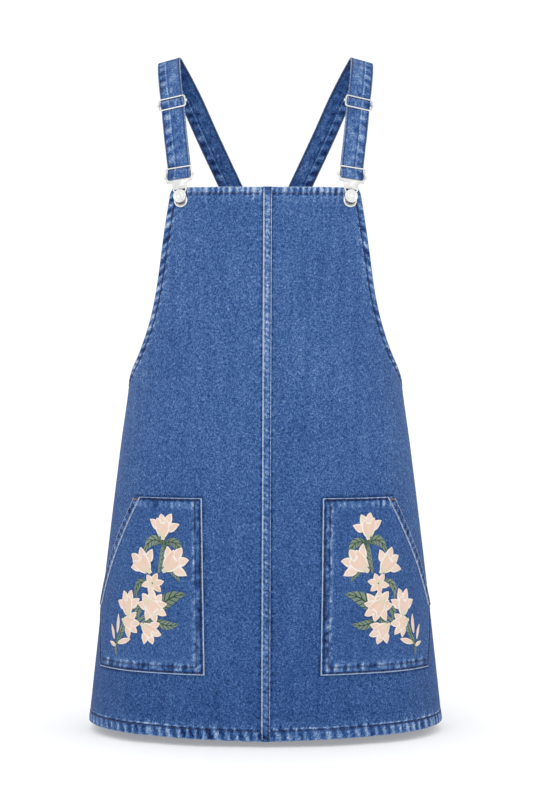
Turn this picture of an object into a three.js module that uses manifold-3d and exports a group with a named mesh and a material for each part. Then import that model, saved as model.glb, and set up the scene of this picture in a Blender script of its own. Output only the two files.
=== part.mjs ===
// A knee-length denim pinafore dress, hollow and filled out as it is when somebody wears it.
// Millimetres, +Z up. Z = 0 is where the straps rest on the shoulders, X = 0 is the centre front
// seam, and the front faces -Y. Left and right are the wearer's: the wearer's left is +X.
import * as THREE from "three";
import { mergeVertices } from "three/addons/utils/BufferGeometryUtils.js";
import Module from "manifold-3d";

const wasm = await Module();
wasm.setup();

// Driving dimensions
const CLOTH = 1.4; // one layer of denim
const TURNED = 1.4; // what a turned hem adds on the inside
const SEAM_GAP = 0.3; // between pieces that are sewn together
const LAID_GAP = 0.6; // under the middle of a pocket, so that its flat facets clear the curved cloth
const BIB_TOP = -176;
const BACK_TOP = -211;
const UNDERARM = -418;
const HEM = -860.5;
const HEM_LIFT = 4.5; // the hem is cut this much higher at the side seams
const EDGE_HEM = 9; // turned hem along the bib top and the armholes
const SKIRT_HEM = 13;
const FELL = { width: 11, thick: 1.1 }; // the felled seam down the centre front
const FELL_DRIFT = 2.6; // how far left of the middle it starts at the bib top, straight at the hem

// Horizontal sections of the body of the dress: half width at the side seams, depth of the centre
// front and centre back, and the power of the rounded curve between them, 2 being an ellipse.
const SECTIONS = [
  { z: -140, half: 168, front: 97, back: 86, frontPower: 3, backPower: 2.5 },
  { z: -174, half: 169.5, front: 105, back: 94, frontPower: 3, backPower: 2.5 },
  { z: -211, half: 170.5, front: 112, back: 99.5, frontPower: 2.9, backPower: 2.45 },
  { z: -270, half: 171.5, front: 121, back: 106, frontPower: 2.7, backPower: 2.4 },
  { z: -345, half: 173, front: 128, back: 109, frontPower: 2.5, backPower: 2.3 },
  { z: -418, half: 176.5, front: 133, back: 109, frontPower: 2.3, backPower: 2.25 },
  { z: -500, half: 187.4, front: 138.5, back: 112, frontPower: 2.2, backPower: 2.2 },
  { z: -600, half: 199.8, front: 146, back: 126, frontPower: 2.2, backPower: 2.2 },
  { z: -720, half: 213.8, front: 155, back: 143, frontPower: 2.2, backPower: 2.2 },
  { z: -870, half: 230, front: 166, back: 161, frontPower: 2.2, backPower: 2.2 },
];

// Armhole edges: how far the cloth reaches from the centre line at each height, measured along it.
const FRONT_ARMHOLE = [
  { z: -176, reach: 115 },
  { z: -180, reach: 120 },
  { z: -190, reach: 123 },
  { z: -249, reach: 134 },
  { z: -293, reach: 142.3 },
  { z: -323, reach: 150 },
  { z: -353, reach: 162.3 },
  { z: -384, reach: 184.5 },
  { z: -403, reach: 210 },
  { z: -413, reach: 231 },
  { z: -417, reach: 251 },
  { z: -418, reach: 275 },
];
const BACK_ARMHOLE = [
  { z: -211, reach: 40 },
  { z: -215, reach: 43.5 },
  { z: -250, reach: 51 },
  { z: -290, reach: 66 },
  { z: -326, reach: 90 },
  { z: -358, reach: 124 },
  { z: -386, reach: 163 },
  { z: -404, reach: 190 },
  { z: -413, reach: 211 },
  { z: -417, reach: 228 },
  { z: -418, reach: 255 },
];

// Patch pockets on the front, one each side: distances from the centre front along the cloth.
const POCKET = {
  inner: { right: { top: 78.8, bottom: 74.7 }, left: { top: 71.2, bottom: 67.6 } },
  outer: {
    right: { top: 177.2, slantEnd: 268, bottom: 243.3 },
    left: { top: 171.6, slantEnd: 262, bottom: 236 },
  },
  top: -564.5,
  slantEnd: -706,
  bottom: -781,
  thick: 1.3,
  edgeBand: 11,
  edgeRaise: 0.6,
  mouthLift: 1.6,
};
const UNDER_MOUTH_BAND = 0.75; // the pocket's top stays flat from this share of its width on
const MOUTH_BAND = { width: 12.4, thick: 1, below: 0.4 };

// Straps, hooks, sliders and buttons
const STRAP = { width: 30, thick: 2.4, ridgeAt: 4.2, ridgeHigh: 0.5, ridgeHalf: 1.4 };
const WIRE = 1.1; // radius of the hook's and slider's wire
const BUTTON = { capRadius: 8.7, shankRadius: 3.3, capAt: 3.2, capThick: 3.4 };
const HOOK = {
  out: 1.7, // its plane stands this far off the bib
  half: 17,
  topBar: 37.3,
  middleBar: 26.5,
  bottomBar: 21,
  neckHalf: 9.2,
  neckFoot: 10,
  loopAt: -4.6,
  loopRadius: 7.8,
  plate: 1.6,
};
const SLIDER = { at: 128.5, half: 17, high: 8.2, corner: 3 };
const KNOB = { radius: 1.9, long: 1.6 };

// The line that a strap follows from the button over the shoulder to the back, on the left side.
// yaw turns its face outwards, and roll drops its outer edge, in degrees.
const STRAP_LINE = [
  { x: 106.5, y: -99.5, z: -188, yaw: 17, roll: 0 },
  { x: 108.7, y: -95.6, z: -161.5, yaw: 17, roll: 0 },
  { x: 110.6, y: -92.4, z: -139, yaw: 17, roll: 0 },
  { x: 114, y: -84.5, z: -109, yaw: 14, roll: 4 },
  { x: 117.4, y: -71, z: -78, yaw: 12, roll: 7 },
  { x: 121, y: -52, z: -46, yaw: 9, roll: 10 },
  { x: 124.2, y: -27, z: -17, yaw: 5, roll: 14 },
  { x: 124.6, y: 0, z: -2.5, yaw: 0, roll: 16 },
  { x: 119.8, y: 27, z: -8, yaw: -2, roll: 15 },
  { x: 109, y: 50, z: -26, yaw: -3, roll: 11 },
  { x: 95.6, y: 66, z: -52, yaw: -4, roll: 7 },
  { x: 80.2, y: 77.5, z: -86, yaw: -4, roll: 4 },
  { x: 64.2, y: 85.5, z: -120, yaw: -4, roll: 2 },
  { x: 49, y: 90, z: -152, yaw: -4, roll: 0 },
  { x: 34.6, y: 92.7, z: -182.5, yaw: -3, roll: 0 },
  { x: 20.7, y: 94.1, z: -211, yaw: -4, roll: 0 },
  { x: 17.3, y: 94.9, z: -219, yaw: -4, roll: 0 },
];

// Smooth tables

// Returns f(key) for a column of a table whose rows run down its key column: a cubic through them.
function smooth(rows, key, column) {
  const slope = rows.map((row, i) => {
    const a = rows[Math.max(i - 1, 0)];
    const b = rows[Math.min(i + 1, rows.length - 1)];
    return (b[column] - a[column]) / (b[key] - a[key]);
  });
  return (at) => {
    let i = 0;
    while (i < rows.length - 2 && (at - rows[i + 1][key]) * (rows[1][key] - rows[0][key]) > 0) i += 1;
    const span = rows[i + 1][key] - rows[i][key];
    const t = THREE.MathUtils.clamp((at - rows[i][key]) / span, 0, 1);
    const from = rows[i][column] * (1 + 2 * t) * (1 - t) ** 2 + slope[i] * span * t * (1 - t) ** 2;
    return from + rows[i + 1][column] * t * t * (3 - 2 * t) + slope[i + 1] * span * t * t * (t - 1);
  };
}

const HALF = smooth(SECTIONS, "z", "half");
const SHAPE = {
  front: { facing: -1, depth: smooth(SECTIONS, "z", "front"), power: smooth(SECTIONS, "z", "frontPower") },
  back: { facing: 1, depth: smooth(SECTIONS, "z", "back"), power: smooth(SECTIONS, "z", "backPower") },
};

// The surface of the dress: a place is a distance from the centre line along the cloth, and a height

const WALK_STEPS = 72;
const walks = new Map();

// A quarter ring from the centre line to the side seam, as points with their distance walked.
function quarterRing(part, z) {
  const name = part + z.toFixed(3);
  if (!walks.has(name)) {
    const { depth, power } = SHAPE[part];
    const half = HALF(z);
    const deep = depth(z);
    const n = power(z);
    const points = [];
    let walked = 0;
    for (let i = 0; i <= WALK_STEPS; i += 1) {
      const across = Math.sin((i / WALK_STEPS) * (Math.PI / 2));
      const x = half * across;
      const y = deep * Math.max(0, 1 - across ** n) ** (1 / n);
      if (i > 0) walked += Math.hypot(x - points[i - 1].x, y - points[i - 1].y);
      points.push({ x, y, walked });
    }
    walks.set(name, points);
  }
  return walks.get(name);
}

function sideSeam(part, z) {
  return quarterRing(part, z)[WALK_STEPS].walked;
}

function onBody(part, along, z) {
  const ring = quarterRing(part, z);
  const far = Math.min(Math.abs(along), ring[WALK_STEPS].walked);
  let i = 0;
  while (i < WALK_STEPS - 1 && ring[i + 1].walked < far) i += 1;
  const t = (far - ring[i].walked) / (ring[i + 1].walked - ring[i].walked);
  const x = THREE.MathUtils.lerp(ring[i].x, ring[i + 1].x, t);
  const y = THREE.MathUtils.lerp(ring[i].y, ring[i + 1].y, t);
  return new THREE.Vector3(Math.sign(along) * x, SHAPE[part].facing * y, z);
}

function bodyNormal(part, along, z) {
  const step = 1.5;
  const limit = sideSeam(part, z);
  const right = onBody(part, Math.min(along + step, limit), z);
  const across = right.sub(onBody(part, Math.max(along - step, -limit), z));
  const upwards = onBody(part, along, z + step).sub(onBody(part, along, z - step));
  const normal = across.cross(upwards).normalize();
  return normal.y * SHAPE[part].facing < -0.001 ? normal.negate() : normal;
}

// A place on the dress, moved out from the cloth's outer face. A negative distance goes inwards.
function body(part, along, z, out) {
  const normal = bodyNormal(part, along, z);
  if (normal.x * along < 0 && Math.abs(normal.x) > 0.5) normal.negate();
  return onBody(part, along, z).addScaledVector(normal, out);
}

// Closed meshes

function geometryOf(points, triangles) {
  let volume = 0;
  for (const [a, b, c] of triangles) volume += points[a].dot(points[b].clone().cross(points[c]));
  const faces = volume < 0 ? triangles.map(([a, b, c]) => [a, c, b]) : triangles;
  const geometry = new THREE.BufferGeometry().setFromPoints(points);
  geometry.setIndex(faces.flat());
  geometry.computeVertexNormals();
  return geometry;
}

// A wall between two grids of points with the same numbers of columns and rows.
function wall(columns, rows, outer, inner) {
  const wide = columns.length;
  const high = rows.length;
  const points = [];
  for (const face of [outer, inner]) {
    for (const row of rows) {
      for (const column of columns) points.push(face(column, row));
    }
  }
  const outside = (i, j) => j * wide + i;
  const inside = (i, j) => wide * high + j * wide + i;
  const triangles = [];
  const quad = (a, b, c, d) => triangles.push([a, b, c], [a, c, d]);
  for (let j = 0; j < high - 1; j += 1) {
    for (let i = 0; i < wide - 1; i += 1) {
      quad(outside(i, j), outside(i + 1, j), outside(i + 1, j + 1), outside(i, j + 1));
      quad(inside(i, j), inside(i, j + 1), inside(i + 1, j + 1), inside(i + 1, j));
    }
  }
  for (let i = 0; i < wide - 1; i += 1) {
    quad(outside(i + 1, 0), outside(i, 0), inside(i, 0), inside(i + 1, 0));
    quad(outside(i, high - 1), outside(i + 1, high - 1), inside(i + 1, high - 1), inside(i, high - 1));
  }
  for (let j = 0; j < high - 1; j += 1) {
    quad(outside(0, j), outside(0, j + 1), inside(0, j + 1), inside(0, j));
    quad(outside(wide - 1, j + 1), outside(wide - 1, j), inside(wide - 1, j), inside(wide - 1, j + 1));
  }
  return geometryOf(points, triangles);
}

// A solid through rings of points, closed on itself or capped at both ends.
function loft(rings, closed) {
  const points = rings.flat();
  const count = rings[0].length;
  const triangles = [];
  const spans = closed ? rings.length : rings.length - 1;
  for (let j = 0; j < spans; j += 1) {
    const here = j * count;
    const next = ((j + 1) % rings.length) * count;
    for (let i = 0; i < count; i += 1) {
      const k = (i + 1) % count;
      triangles.push([here + i, here + k, next + k], [here + i, next + k, next + i]);
    }
  }
  if (!closed) {
    for (const [ring, start] of [[rings[0], 0], [rings.at(-1), (rings.length - 1) * count]]) {
      const middle = ring.reduce((sum, p) => sum.add(p), new THREE.Vector3()).divideScalar(count);
      points.push(middle);
      for (let i = 0; i < count; i += 1) {
        const k = (i + 1) % count;
        const cap = [points.length - 1, start + k, start + i];
        triangles.push(start === 0 ? cap : cap.reverse());
      }
    }
  }
  return geometryOf(points, triangles);
}

// A round wire of a closed path that lies in the XY plane.
function wireLoop(path, sides = 8) {
  const rings = path.map((p, i) => {
    const before = path[(i + path.length - 1) % path.length];
    const after = path[(i + 1) % path.length];
    const outwards = new THREE.Vector3(after.y - before.y, before.x - after.x, 0).normalize();
    return Array.from({ length: sides }, (_, k) => {
      const turn = (k / sides) * 2 * Math.PI;
      const flat = outwards.clone().multiplyScalar(WIRE * Math.cos(turn));
      return new THREE.Vector3(p.x, p.y, WIRE * Math.sin(turn)).add(flat);
    });
  });
  return loft(rings, true);
}

function solidOf(geometry) {
  const bare = geometry.clone();
  bare.deleteAttribute("normal");
  bare.deleteAttribute("uv");
  const merged = mergeVertices(bare, 1e-4);
  return new wasm.Manifold(
    new wasm.Mesh({
      numProp: 3,
      vertProperties: merged.attributes.position.array,
      triVerts: new Uint32Array(merged.index.array),
    }),
  );
}

function joined(...geometries) {
  const whole = geometries.map(solidOf).reduce((a, b) => a.add(b)).getMesh();
  const geometry = new THREE.BufferGeometry();
  geometry.setAttribute("position", new THREE.BufferAttribute(whole.vertProperties, 3));
  geometry.setIndex(new THREE.BufferAttribute(whole.triVerts, 1));
  geometry.computeVertexNormals();
  return geometry;
}

// Values from a to b in equal steps.
function steps(a, b, count) {
  return Array.from({ length: count + 1 }, (_, i) => THREE.MathUtils.lerp(a, b, i / count));
}

// Materials

const paint = (color, roughness, metalness = 0) =>
  new THREE.MeshStandardMaterial({ color, roughness, metalness });
const DENIM = paint(0x3f66a8, 0.9);
const DENIM_DARK = paint(0x34568f, 0.9);
const NICKEL = paint(0xd9d8d2, 0.25, 1);

const dress = new THREE.Group();

function add(parent, name, geometry, material) {
  const mesh = new THREE.Mesh(geometry, material);
  mesh.name = name;
  parent.add(mesh);
  return mesh;
}

// Body panels

const BAND_STEP = 0.6; // over which a turned hem ends

// Where the centre front seam runs, as a distance left of the middle.
function seamAt(z) {
  return (FELL_DRIFT * (z - HEM)) / (BIB_TOP - HEM);
}

// How much higher a row of a panel runs, at a share of the way from the centre to the side seam.
function hemLift(share, z) {
  const down = THREE.MathUtils.clamp((UNDERARM - z) / (UNDERARM - HEM), 0, 1);
  return HEM_LIFT * down ** 4 * Math.sin((Math.PI / 2) * share);
}

// Rows of a panel, from its top edge to the hem, with a pair of rows where each turned hem ends.
// They close up towards the underarm, where the edge of the armhole runs nearly level.
function panelRows(top, above, below) {
  const start = top - EDGE_HEM - BAND_STEP;
  const armhole = steps(0, Math.PI / 2, above).map((t) => start + (UNDERARM - start) * Math.sin(t));
  return [
    top,
    top - EDGE_HEM,
    ...armhole,
    ...steps(UNDERARM, HEM + SKIRT_HEM + BAND_STEP, below).slice(1),
    HEM + SKIRT_HEM,
    HEM,
  ];
}

// Where the cloth of a panel ends, at its armhole or its side seam.
function panelEdge(part, table) {
  const reach = smooth(table, "z", "reach");
  return (z) => {
    const seam = sideSeam(part, z) - SEAM_GAP / 2;
    return z > UNDERARM ? Math.min(reach(z), seam) : seam;
  };
}

// A panel between two edges, as a wall with its turned hems thicker on the inside. Each column is
// a share of the way from the start to the outer edge, and an inset back from that edge.
function panel(part, columns, rows, start, edge) {
  const place = (column, z, out) => {
    const height = z + hemLift(column.share, z);
    const along = THREE.MathUtils.lerp(start(height), edge(height) - column.inset, column.share);
    return body(part, column.side * along, height, out);
  };
  const turned = (column, z) => {
    const atTop = z > rows[0] - EDGE_HEM - 0.1;
    const atHem = z < HEM + SKIRT_HEM + 0.1;
    return atTop || atHem || column.inset < EDGE_HEM + 0.1;
  };
  return wall(
    columns,
    rows,
    (column, z) => place(column, z, 0),
    (column, z) => place(column, z, -CLOTH - (turned(column, z) ? TURNED : 0)),
  );
}

function halfColumns(side, count) {
  const plain = steps(0, 1, count).map((share) => ({ side, share, inset: EDGE_HEM + BAND_STEP }));
  return [...plain, { side, share: 1, inset: EDGE_HEM }, { side, share: 1, inset: 0 }];
}

const frontEdge = panelEdge("front", FRONT_ARMHOLE);
const backEdge = panelEdge("back", BACK_ARMHOLE);
const frontRows = panelRows(BIB_TOP, 12, 13);
const backRows = panelRows(BACK_TOP, 11, 13);

for (const [name, side] of [["front_right", -1], ["front_left", 1]]) {
  const start = (z) => SEAM_GAP / 2 + side * seamAt(z);
  add(dress, name, panel("front", halfColumns(side, 14), frontRows, start, frontEdge), DENIM);
}
const backColumns = [...halfColumns(-1, 11).reverse(), ...halfColumns(1, 11).slice(1)];
add(dress, "back", panel("back", backColumns, backRows, () => 0, backEdge), DENIM);

// Centre front seam

const fellRows = [BIB_TOP - 0.5, ...frontRows.slice(1)];
add(
  dress,
  "centre_front_seam",
  wall(
    [-FELL.width / 2, 0, FELL.width / 2],
    fellRows,
    (across, z) => body("front", across + seamAt(z), z, SEAM_GAP + FELL.thick),
    (across, z) => body("front", across + seamAt(z), z, SEAM_GAP),
  ),
  DENIM_DARK,
);

// Pockets

function pocketInner(name, z) {
  const { top, bottom } = POCKET.inner[name];
  return THREE.MathUtils.mapLinear(z, POCKET.top, POCKET.bottom, top, bottom);
}

// The outer edge slants out along the mouth, and then comes back in a little down to the bottom.
function pocketReach(name, z) {
  const { top, slantEnd, bottom } = POCKET.outer[name];
  return z > POCKET.slantEnd
    ? THREE.MathUtils.mapLinear(z, POCKET.top, POCKET.slantEnd, top, slantEnd)
    : THREE.MathUtils.mapLinear(z, POCKET.slantEnd, POCKET.bottom, slantEnd, bottom);
}

// The slanted mouth stands off the skirt a little, most at the middle of its length.
function mouthLift(name, along, z) {
  const share = (POCKET.top - z) / (POCKET.top - POCKET.slantEnd);
  if (share <= 0 || share >= 1) return 0;
  const near = THREE.MathUtils.smoothstep(along, pocketReach(name, z) - 45, pocketReach(name, z));
  return POCKET.mouthLift * Math.sin(Math.PI * share) * near;
}

const pocketColumns = [
  { share: 0, inset: 0 },
  { share: 0, inset: POCKET.edgeBand },
  ...steps(0, 1, 10).map((share) => ({ share, inset: POCKET.edgeBand + BAND_STEP })),
];
const pocketRows = [
  POCKET.top,
  POCKET.top - POCKET.edgeBand,
  ...steps(POCKET.top - POCKET.edgeBand - BAND_STEP, POCKET.slantEnd, 8),
  ...steps(POCKET.slantEnd, POCKET.bottom + POCKET.edgeBand + BAND_STEP, 2).slice(1),
  POCKET.bottom + POCKET.edgeBand,
  POCKET.bottom,
];

for (const [name, side] of [["right", -1], ["left", 1]]) {
  const along = (column, z) =>
    THREE.MathUtils.lerp(pocketInner(name, z) + column.inset, pocketReach(name, z), column.share);
  const raised = (column, z) => {
    const inBand = column.inset < POCKET.edgeBand + 0.1;
    const nearTop = z > POCKET.top - POCKET.edgeBand - 0.1;
    const nearBottom = z < POCKET.bottom + POCKET.edgeBand + 0.1;
    if (nearTop && column.share > UNDER_MOUTH_BAND) return 0;
    return inBand || nearTop || nearBottom ? POCKET.edgeRaise : 0;
  };
  const on = (column, z, out) => {
    const a = along(column, z);
    return body("front", side * a, z, LAID_GAP + mouthLift(name, a, z) + out);
  };
  add(
    dress,
    `pocket_${name}`,
    wall(
      pocketColumns,
      pocketRows,
      (column, z) => on(column, z, POCKET.thick + raised(column, z)),
      (column, z) => on(column, z, 0),
    ),
    DENIM,
  );
  const bandOut = LAID_GAP + SEAM_GAP + POCKET.thick;
  const onBand = (inset, z, out) => {
    const a = pocketReach(name, z) - inset;
    return body("front", side * a, z, bandOut + mouthLift(name, a, z) + out);
  };
  add(
    dress,
    `pocket_mouth_${name}`,
    wall(
      [0, MOUTH_BAND.width / 2, MOUTH_BAND.width],
      [POCKET.top - MOUTH_BAND.below, ...pocketRows.filter((z) => z < POCKET.top && z >= POCKET.slantEnd)],
      (inset, z) => onBand(inset, z, MOUTH_BAND.thick),
      (inset, z) => onBand(inset, z, 0),
    ),
    DENIM_DARK,
  );
}

// Straps

const strapCurve = new THREE.CatmullRomCurve3(
  STRAP_LINE.map((row) => new THREE.Vector3(row.x, row.y, row.z)),
  false,
  "centripetal",
);
const strapWalk = STRAP_LINE.map((row, i) => ({ ...row, share: i / (STRAP_LINE.length - 1) }));
const strapYaw = smooth(strapWalk, "share", "yaw");
const strapRoll = smooth(strapWalk, "share", "roll");
strapCurve.arcLengthDivisions = 600;
const strapLength = strapCurve.getLength();

// The strap's own axes at a distance along its line: along it, across it and out of its face.
function strapFrame(distance) {
  const share = strapCurve.getUtoTmapping(THREE.MathUtils.clamp(distance / strapLength, 0, 1));
  const at = strapCurve.getPoint(share);
  const upwards = strapCurve.getTangent(share);
  const yaw = THREE.MathUtils.degToRad(strapYaw(share));
  const roll = THREE.MathUtils.degToRad(strapRoll(share));
  const across = new THREE.Vector3(Math.cos(yaw) * Math.cos(roll), Math.sin(yaw) * Math.cos(roll), -Math.sin(roll));
  across.addScaledVector(upwards, -across.dot(upwards)).normalize();
  return { at, upwards, across, out: across.clone().cross(upwards) };
}

// The way that the strap takes past the bars of the hook and the slider: how far up its line, and
// how far out of it. It starts behind the slider, turns round the hook's bar and comes up in front.
// side is how far it keeps to the left of a bar, or to its right where negative, on its way.
const round = WIRE + SEAM_GAP + STRAP.thick / 2;
const lining = STRAP.thick + 0.4; // how far the doubled-back length lies behind the front one
const WAY = [
  { up: SLIDER.at - 1, out: -round - 0.4, side: 0 },
  { up: SLIDER.at - SLIDER.high, out: -round - lining, side: 0 },
  { up: SLIDER.at - 20, out: -1.4 - lining, side: 0 },
  { up: HOOK.topBar + 16, out: -1.4 - lining, side: 0 },
  { up: HOOK.topBar, out: -round - lining, side: 0 },
  { up: HOOK.middleBar, out: 0, side: round },
  { up: HOOK.topBar, out: 0, side: -round },
  { up: HOOK.topBar + 14, out: -1.4, side: 0 },
  { up: SLIDER.at - 20, out: -1.4, side: 0 },
  { up: SLIDER.at - SLIDER.high, out: 0, side: -round },
  { up: SLIDER.at, out: 0, side: round },
  { up: SLIDER.at + SLIDER.high, out: 0, side: -round },
  { up: SLIDER.at + 22, out: 0, side: 0 },
  { up: strapLength, out: 0, side: 0 },
];
const STATION_TURN = 0.5; // radians between stations round a bar
const STATION_STEP = 13; // between stations along a straight stretch

// The heading from one stop to the next, as the common tangent of the circles round them.
function heading(a, b) {
  const far = Math.hypot(b.up - a.up, b.out - a.out);
  return Math.atan2(b.out - a.out, b.up - a.up) + Math.asin((b.side - a.side) / far);
}

function beside(stop, angle) {
  const up = stop.up - Math.sin(angle) * stop.side;
  return { up, out: stop.out + Math.cos(angle) * stop.side, angle };
}

// The angle turned at a stop, taken the way that goes round its bar.
function bend(angle, side) {
  const turn = angle - 2 * Math.PI * Math.round(angle / (2 * Math.PI));
  return turn * side > 0 && Math.abs(turn) > 1 ? turn - Math.sign(turn) * 2 * Math.PI : turn;
}

// Stations along the way: straight stretches joined by arcs round the bars.
function stationsOf(way) {
  const headings = way.slice(1).map((stop, i) => heading(way[i], stop));
  const stations = [beside(way[0], headings[0])];
  for (let i = 1; i < way.length; i += 1) {
    const from = stations.at(-1);
    const to = beside(way[i], headings[i - 1]);
    const count = Math.ceil(Math.hypot(to.up - from.up, to.out - from.out) / STATION_STEP);
    for (const t of steps(0, 1, count).slice(1)) {
      const up = THREE.MathUtils.lerp(from.up, to.up, t);
      stations.push({ up, out: THREE.MathUtils.lerp(from.out, to.out, t), angle: headings[i - 1] });
    }
    if (i === way.length - 1) break;
    const turn = bend(headings[i] - headings[i - 1], way[i].side);
    const arcs = way[i].side === 0 ? 0 : Math.ceil(Math.abs(turn) / STATION_TURN);
    if (arcs === 0) stations.at(-1).angle += turn / 2;
    for (const t of steps(0, 1, Math.max(arcs, 1)).slice(1)) {
      if (arcs > 0) stations.push(beside(way[i], headings[i - 1] + turn * t));
    }
  }
  return stations;
}

// The strap's cross-section, with the ridge of the seam that closes it on its outer face.
const halfStrap = STRAP.width / 2;
const halfThick = STRAP.thick / 2;
const strapSection = [
  { across: -halfStrap, out: -halfThick },
  { across: halfStrap, out: -halfThick },
  { across: halfStrap, out: halfThick },
  { across: STRAP.ridgeAt + STRAP.ridgeHalf, out: halfThick },
  { across: STRAP.ridgeAt, out: halfThick + STRAP.ridgeHigh },
  { across: STRAP.ridgeAt - STRAP.ridgeHalf, out: halfThick },
  { across: -halfStrap, out: halfThick },
];

function strap(side) {
  const rings = stationsOf(WAY).map((station) => {
    const { at, upwards, across, out } = strapFrame(station.up);
    const middle = at.clone().addScaledVector(out, station.out);
    const face = upwards.clone().multiplyScalar(-Math.sin(station.angle));
    face.addScaledVector(out, Math.cos(station.angle));
    const atMetal = station.up < HOOK.topBar + 4 || Math.abs(station.up - SLIDER.at) < 13;
    return strapSection.map((p) => {
      const high = atMetal ? Math.min(p.out, halfThick) : p.out;
      const point = middle.clone().addScaledVector(across, p.across).addScaledVector(face, high);
      return new THREE.Vector3(side * point.x, point.y, point.z);
    });
  });
  return loft(rings, false);
}

// Hooks, sliders and buttons, in their own axes: X across the strap, Y up it, Z out of its face

function roundedRectangle(half, bottom, top, corner) {
  const centres = [
    { x: half - corner, y: top - corner, from: 0 },
    { x: -half + corner, y: top - corner, from: 90 },
    { x: -half + corner, y: bottom + corner, from: 180 },
    { x: half - corner, y: bottom + corner, from: 270 },
  ];
  return centres.flatMap(({ x, y, from }) =>
    steps(from, from + 90, 4).map((degrees) => {
      const angle = THREE.MathUtils.degToRad(degrees);
      return new THREE.Vector2(x + corner * Math.cos(angle), y + corner * Math.sin(angle));
    }),
  );
}

// A bar across a wire frame, with a round knob outside the frame at each end.
function knobbedBar(half, y) {
  const reach = half + WIRE + KNOB.long;
  const profile = [
    new THREE.Vector2(0, -reach),
    new THREE.Vector2(KNOB.radius * 0.8, -reach),
    new THREE.Vector2(KNOB.radius, -reach + 0.5),
    new THREE.Vector2(KNOB.radius, -reach + KNOB.long + 0.4),
    new THREE.Vector2(WIRE, -reach + KNOB.long + 0.9),
    new THREE.Vector2(WIRE, reach - KNOB.long - 0.9),
    new THREE.Vector2(KNOB.radius, reach - KNOB.long - 0.4),
    new THREE.Vector2(KNOB.radius, reach - 0.5),
    new THREE.Vector2(KNOB.radius * 0.8, reach),
    new THREE.Vector2(0, reach),
  ];
  return new THREE.LatheGeometry(profile, 10).rotateZ(Math.PI / 2).translate(0, y, 0);
}

function slider() {
  const frame = wireLoop(roundedRectangle(SLIDER.half, -SLIDER.high, SLIDER.high, SLIDER.corner));
  return joined(frame, knobbedBar(SLIDER.half, 0));
}

// The hook: a wire frame for the strap, a stamped neck plate, and a wire loop round the button.
function hook() {
  const frame = wireLoop(roundedRectangle(HOOK.half, HOOK.bottomBar, HOOK.topBar, 2.4));
  const shoulder = HOOK.bottomBar - 2;
  const outline = new THREE.Shape([
    new THREE.Vector2(-HOOK.half - 0.8, HOOK.bottomBar + 1.6),
    new THREE.Vector2(-HOOK.half + 0.6, shoulder),
    new THREE.Vector2(-HOOK.neckHalf, shoulder - 0.6),
    new THREE.Vector2(-HOOK.neckHalf, HOOK.neckFoot - 0.8),
    new THREE.Vector2(HOOK.neckHalf, HOOK.neckFoot - 0.8),
    new THREE.Vector2(HOOK.neckHalf, shoulder - 0.6),
    new THREE.Vector2(HOOK.half - 0.6, shoulder),
    new THREE.Vector2(HOOK.half + 0.8, HOOK.bottomBar + 1.6),
  ]);
  const plate = new THREE.ExtrudeGeometry(outline, { depth: HOOK.plate, bevelEnabled: false });
  plate.translate(0, 0, -HOOK.plate / 2);
  const bend = HOOK.loopRadius * Math.SQRT1_2;
  const loop = new THREE.CatmullRomCurve3(
    [
      new THREE.Vector3(HOOK.neckHalf - 1.4, HOOK.neckFoot + 0.6, 0),
      new THREE.Vector3(5.5, 3.4, 0),
      new THREE.Vector3(HOOK.loopRadius - 0.9, HOOK.loopAt + 2.4, 0),
      new THREE.Vector3(bend + 0.6, HOOK.loopAt - bend, 0),
      new THREE.Vector3(0, HOOK.loopAt - HOOK.loopRadius, 0),
      new THREE.Vector3(-bend - 0.6, HOOK.loopAt - bend, 0),
      new THREE.Vector3(-HOOK.loopRadius + 0.9, HOOK.loopAt + 2.4, 0),
      new THREE.Vector3(-5.5, 3.4, 0),
      new THREE.Vector3(-HOOK.neckHalf + 1.4, HOOK.neckFoot + 0.6, 0),
    ],
    true,
  );
  const loopPath = loop.getPoints(36).slice(0, -1).reverse();
  return joined(frame, plate, wireLoop(loopPath), knobbedBar(HOOK.half, HOOK.middleBar));
}

function button() {
  const { capRadius: r, shankRadius: shank, capAt, capThick } = BUTTON;
  const profile = [
    { r: 0, z: SEAM_GAP },
    { r: shank + 1.4, z: SEAM_GAP },
    { r: shank, z: 1 },
    { r: shank, z: capAt },
    { r: r - 0.8, z: capAt },
    { r, z: capAt + 0.9 },
    { r, z: capAt + capThick - 1.5 },
    { r: r - 1.1, z: capAt + capThick - 0.3 },
    { r: r - 2, z: capAt + capThick },
    { r: r * 0.52, z: capAt + capThick - 0.6 },
    { r: r * 0.42, z: capAt + capThick - 0.1 },
    { r: r * 0.2, z: capAt + capThick - 0.5 },
    { r: 0, z: capAt + capThick - 0.4 },
  ].map((row) => new THREE.Vector2(row.r, row.z));
  return new THREE.LatheGeometry(profile, 20).rotateX(Math.PI / 2);
}

// A group whose own axes lie along the strap at a distance up its line, on either side.
function strapMount(side, distance) {
  const { at, upwards, across, out } = strapFrame(distance);
  const axis = (v) => new THREE.Vector3(side * v.x, v.y, v.z);
  const turned = axis(across).multiplyScalar(side);
  const group = new THREE.Group();
  const matrix = new THREE.Matrix4().makeBasis(turned, axis(upwards), axis(out));
  group.quaternion.setFromRotationMatrix(matrix);
  group.position.copy(axis(at));
  dress.add(group);
  return group;
}

for (const [name, side] of [["right", -1], ["left", 1]]) {
  add(dress, `strap_${name}`, strap(side), DENIM);
  const hookMount = strapMount(side, 0);
  add(hookMount, `hook_${name}`, hook(), NICKEL);
  add(hookMount, `button_${name}`, button(), NICKEL).position.z = -HOOK.out;
  add(strapMount(side, SLIDER.at), `slider_${name}`, slider(), NICKEL);
}

export default dress;
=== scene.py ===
"""A denim pinafore dress, filled out as worn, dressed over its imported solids.

Shapes are worked out in millimetres and written to Blender in metres. Z = 0 is where the straps
rest on the shoulders, -Y is the front, and +X is the wearer's left.
"""
import math

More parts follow.
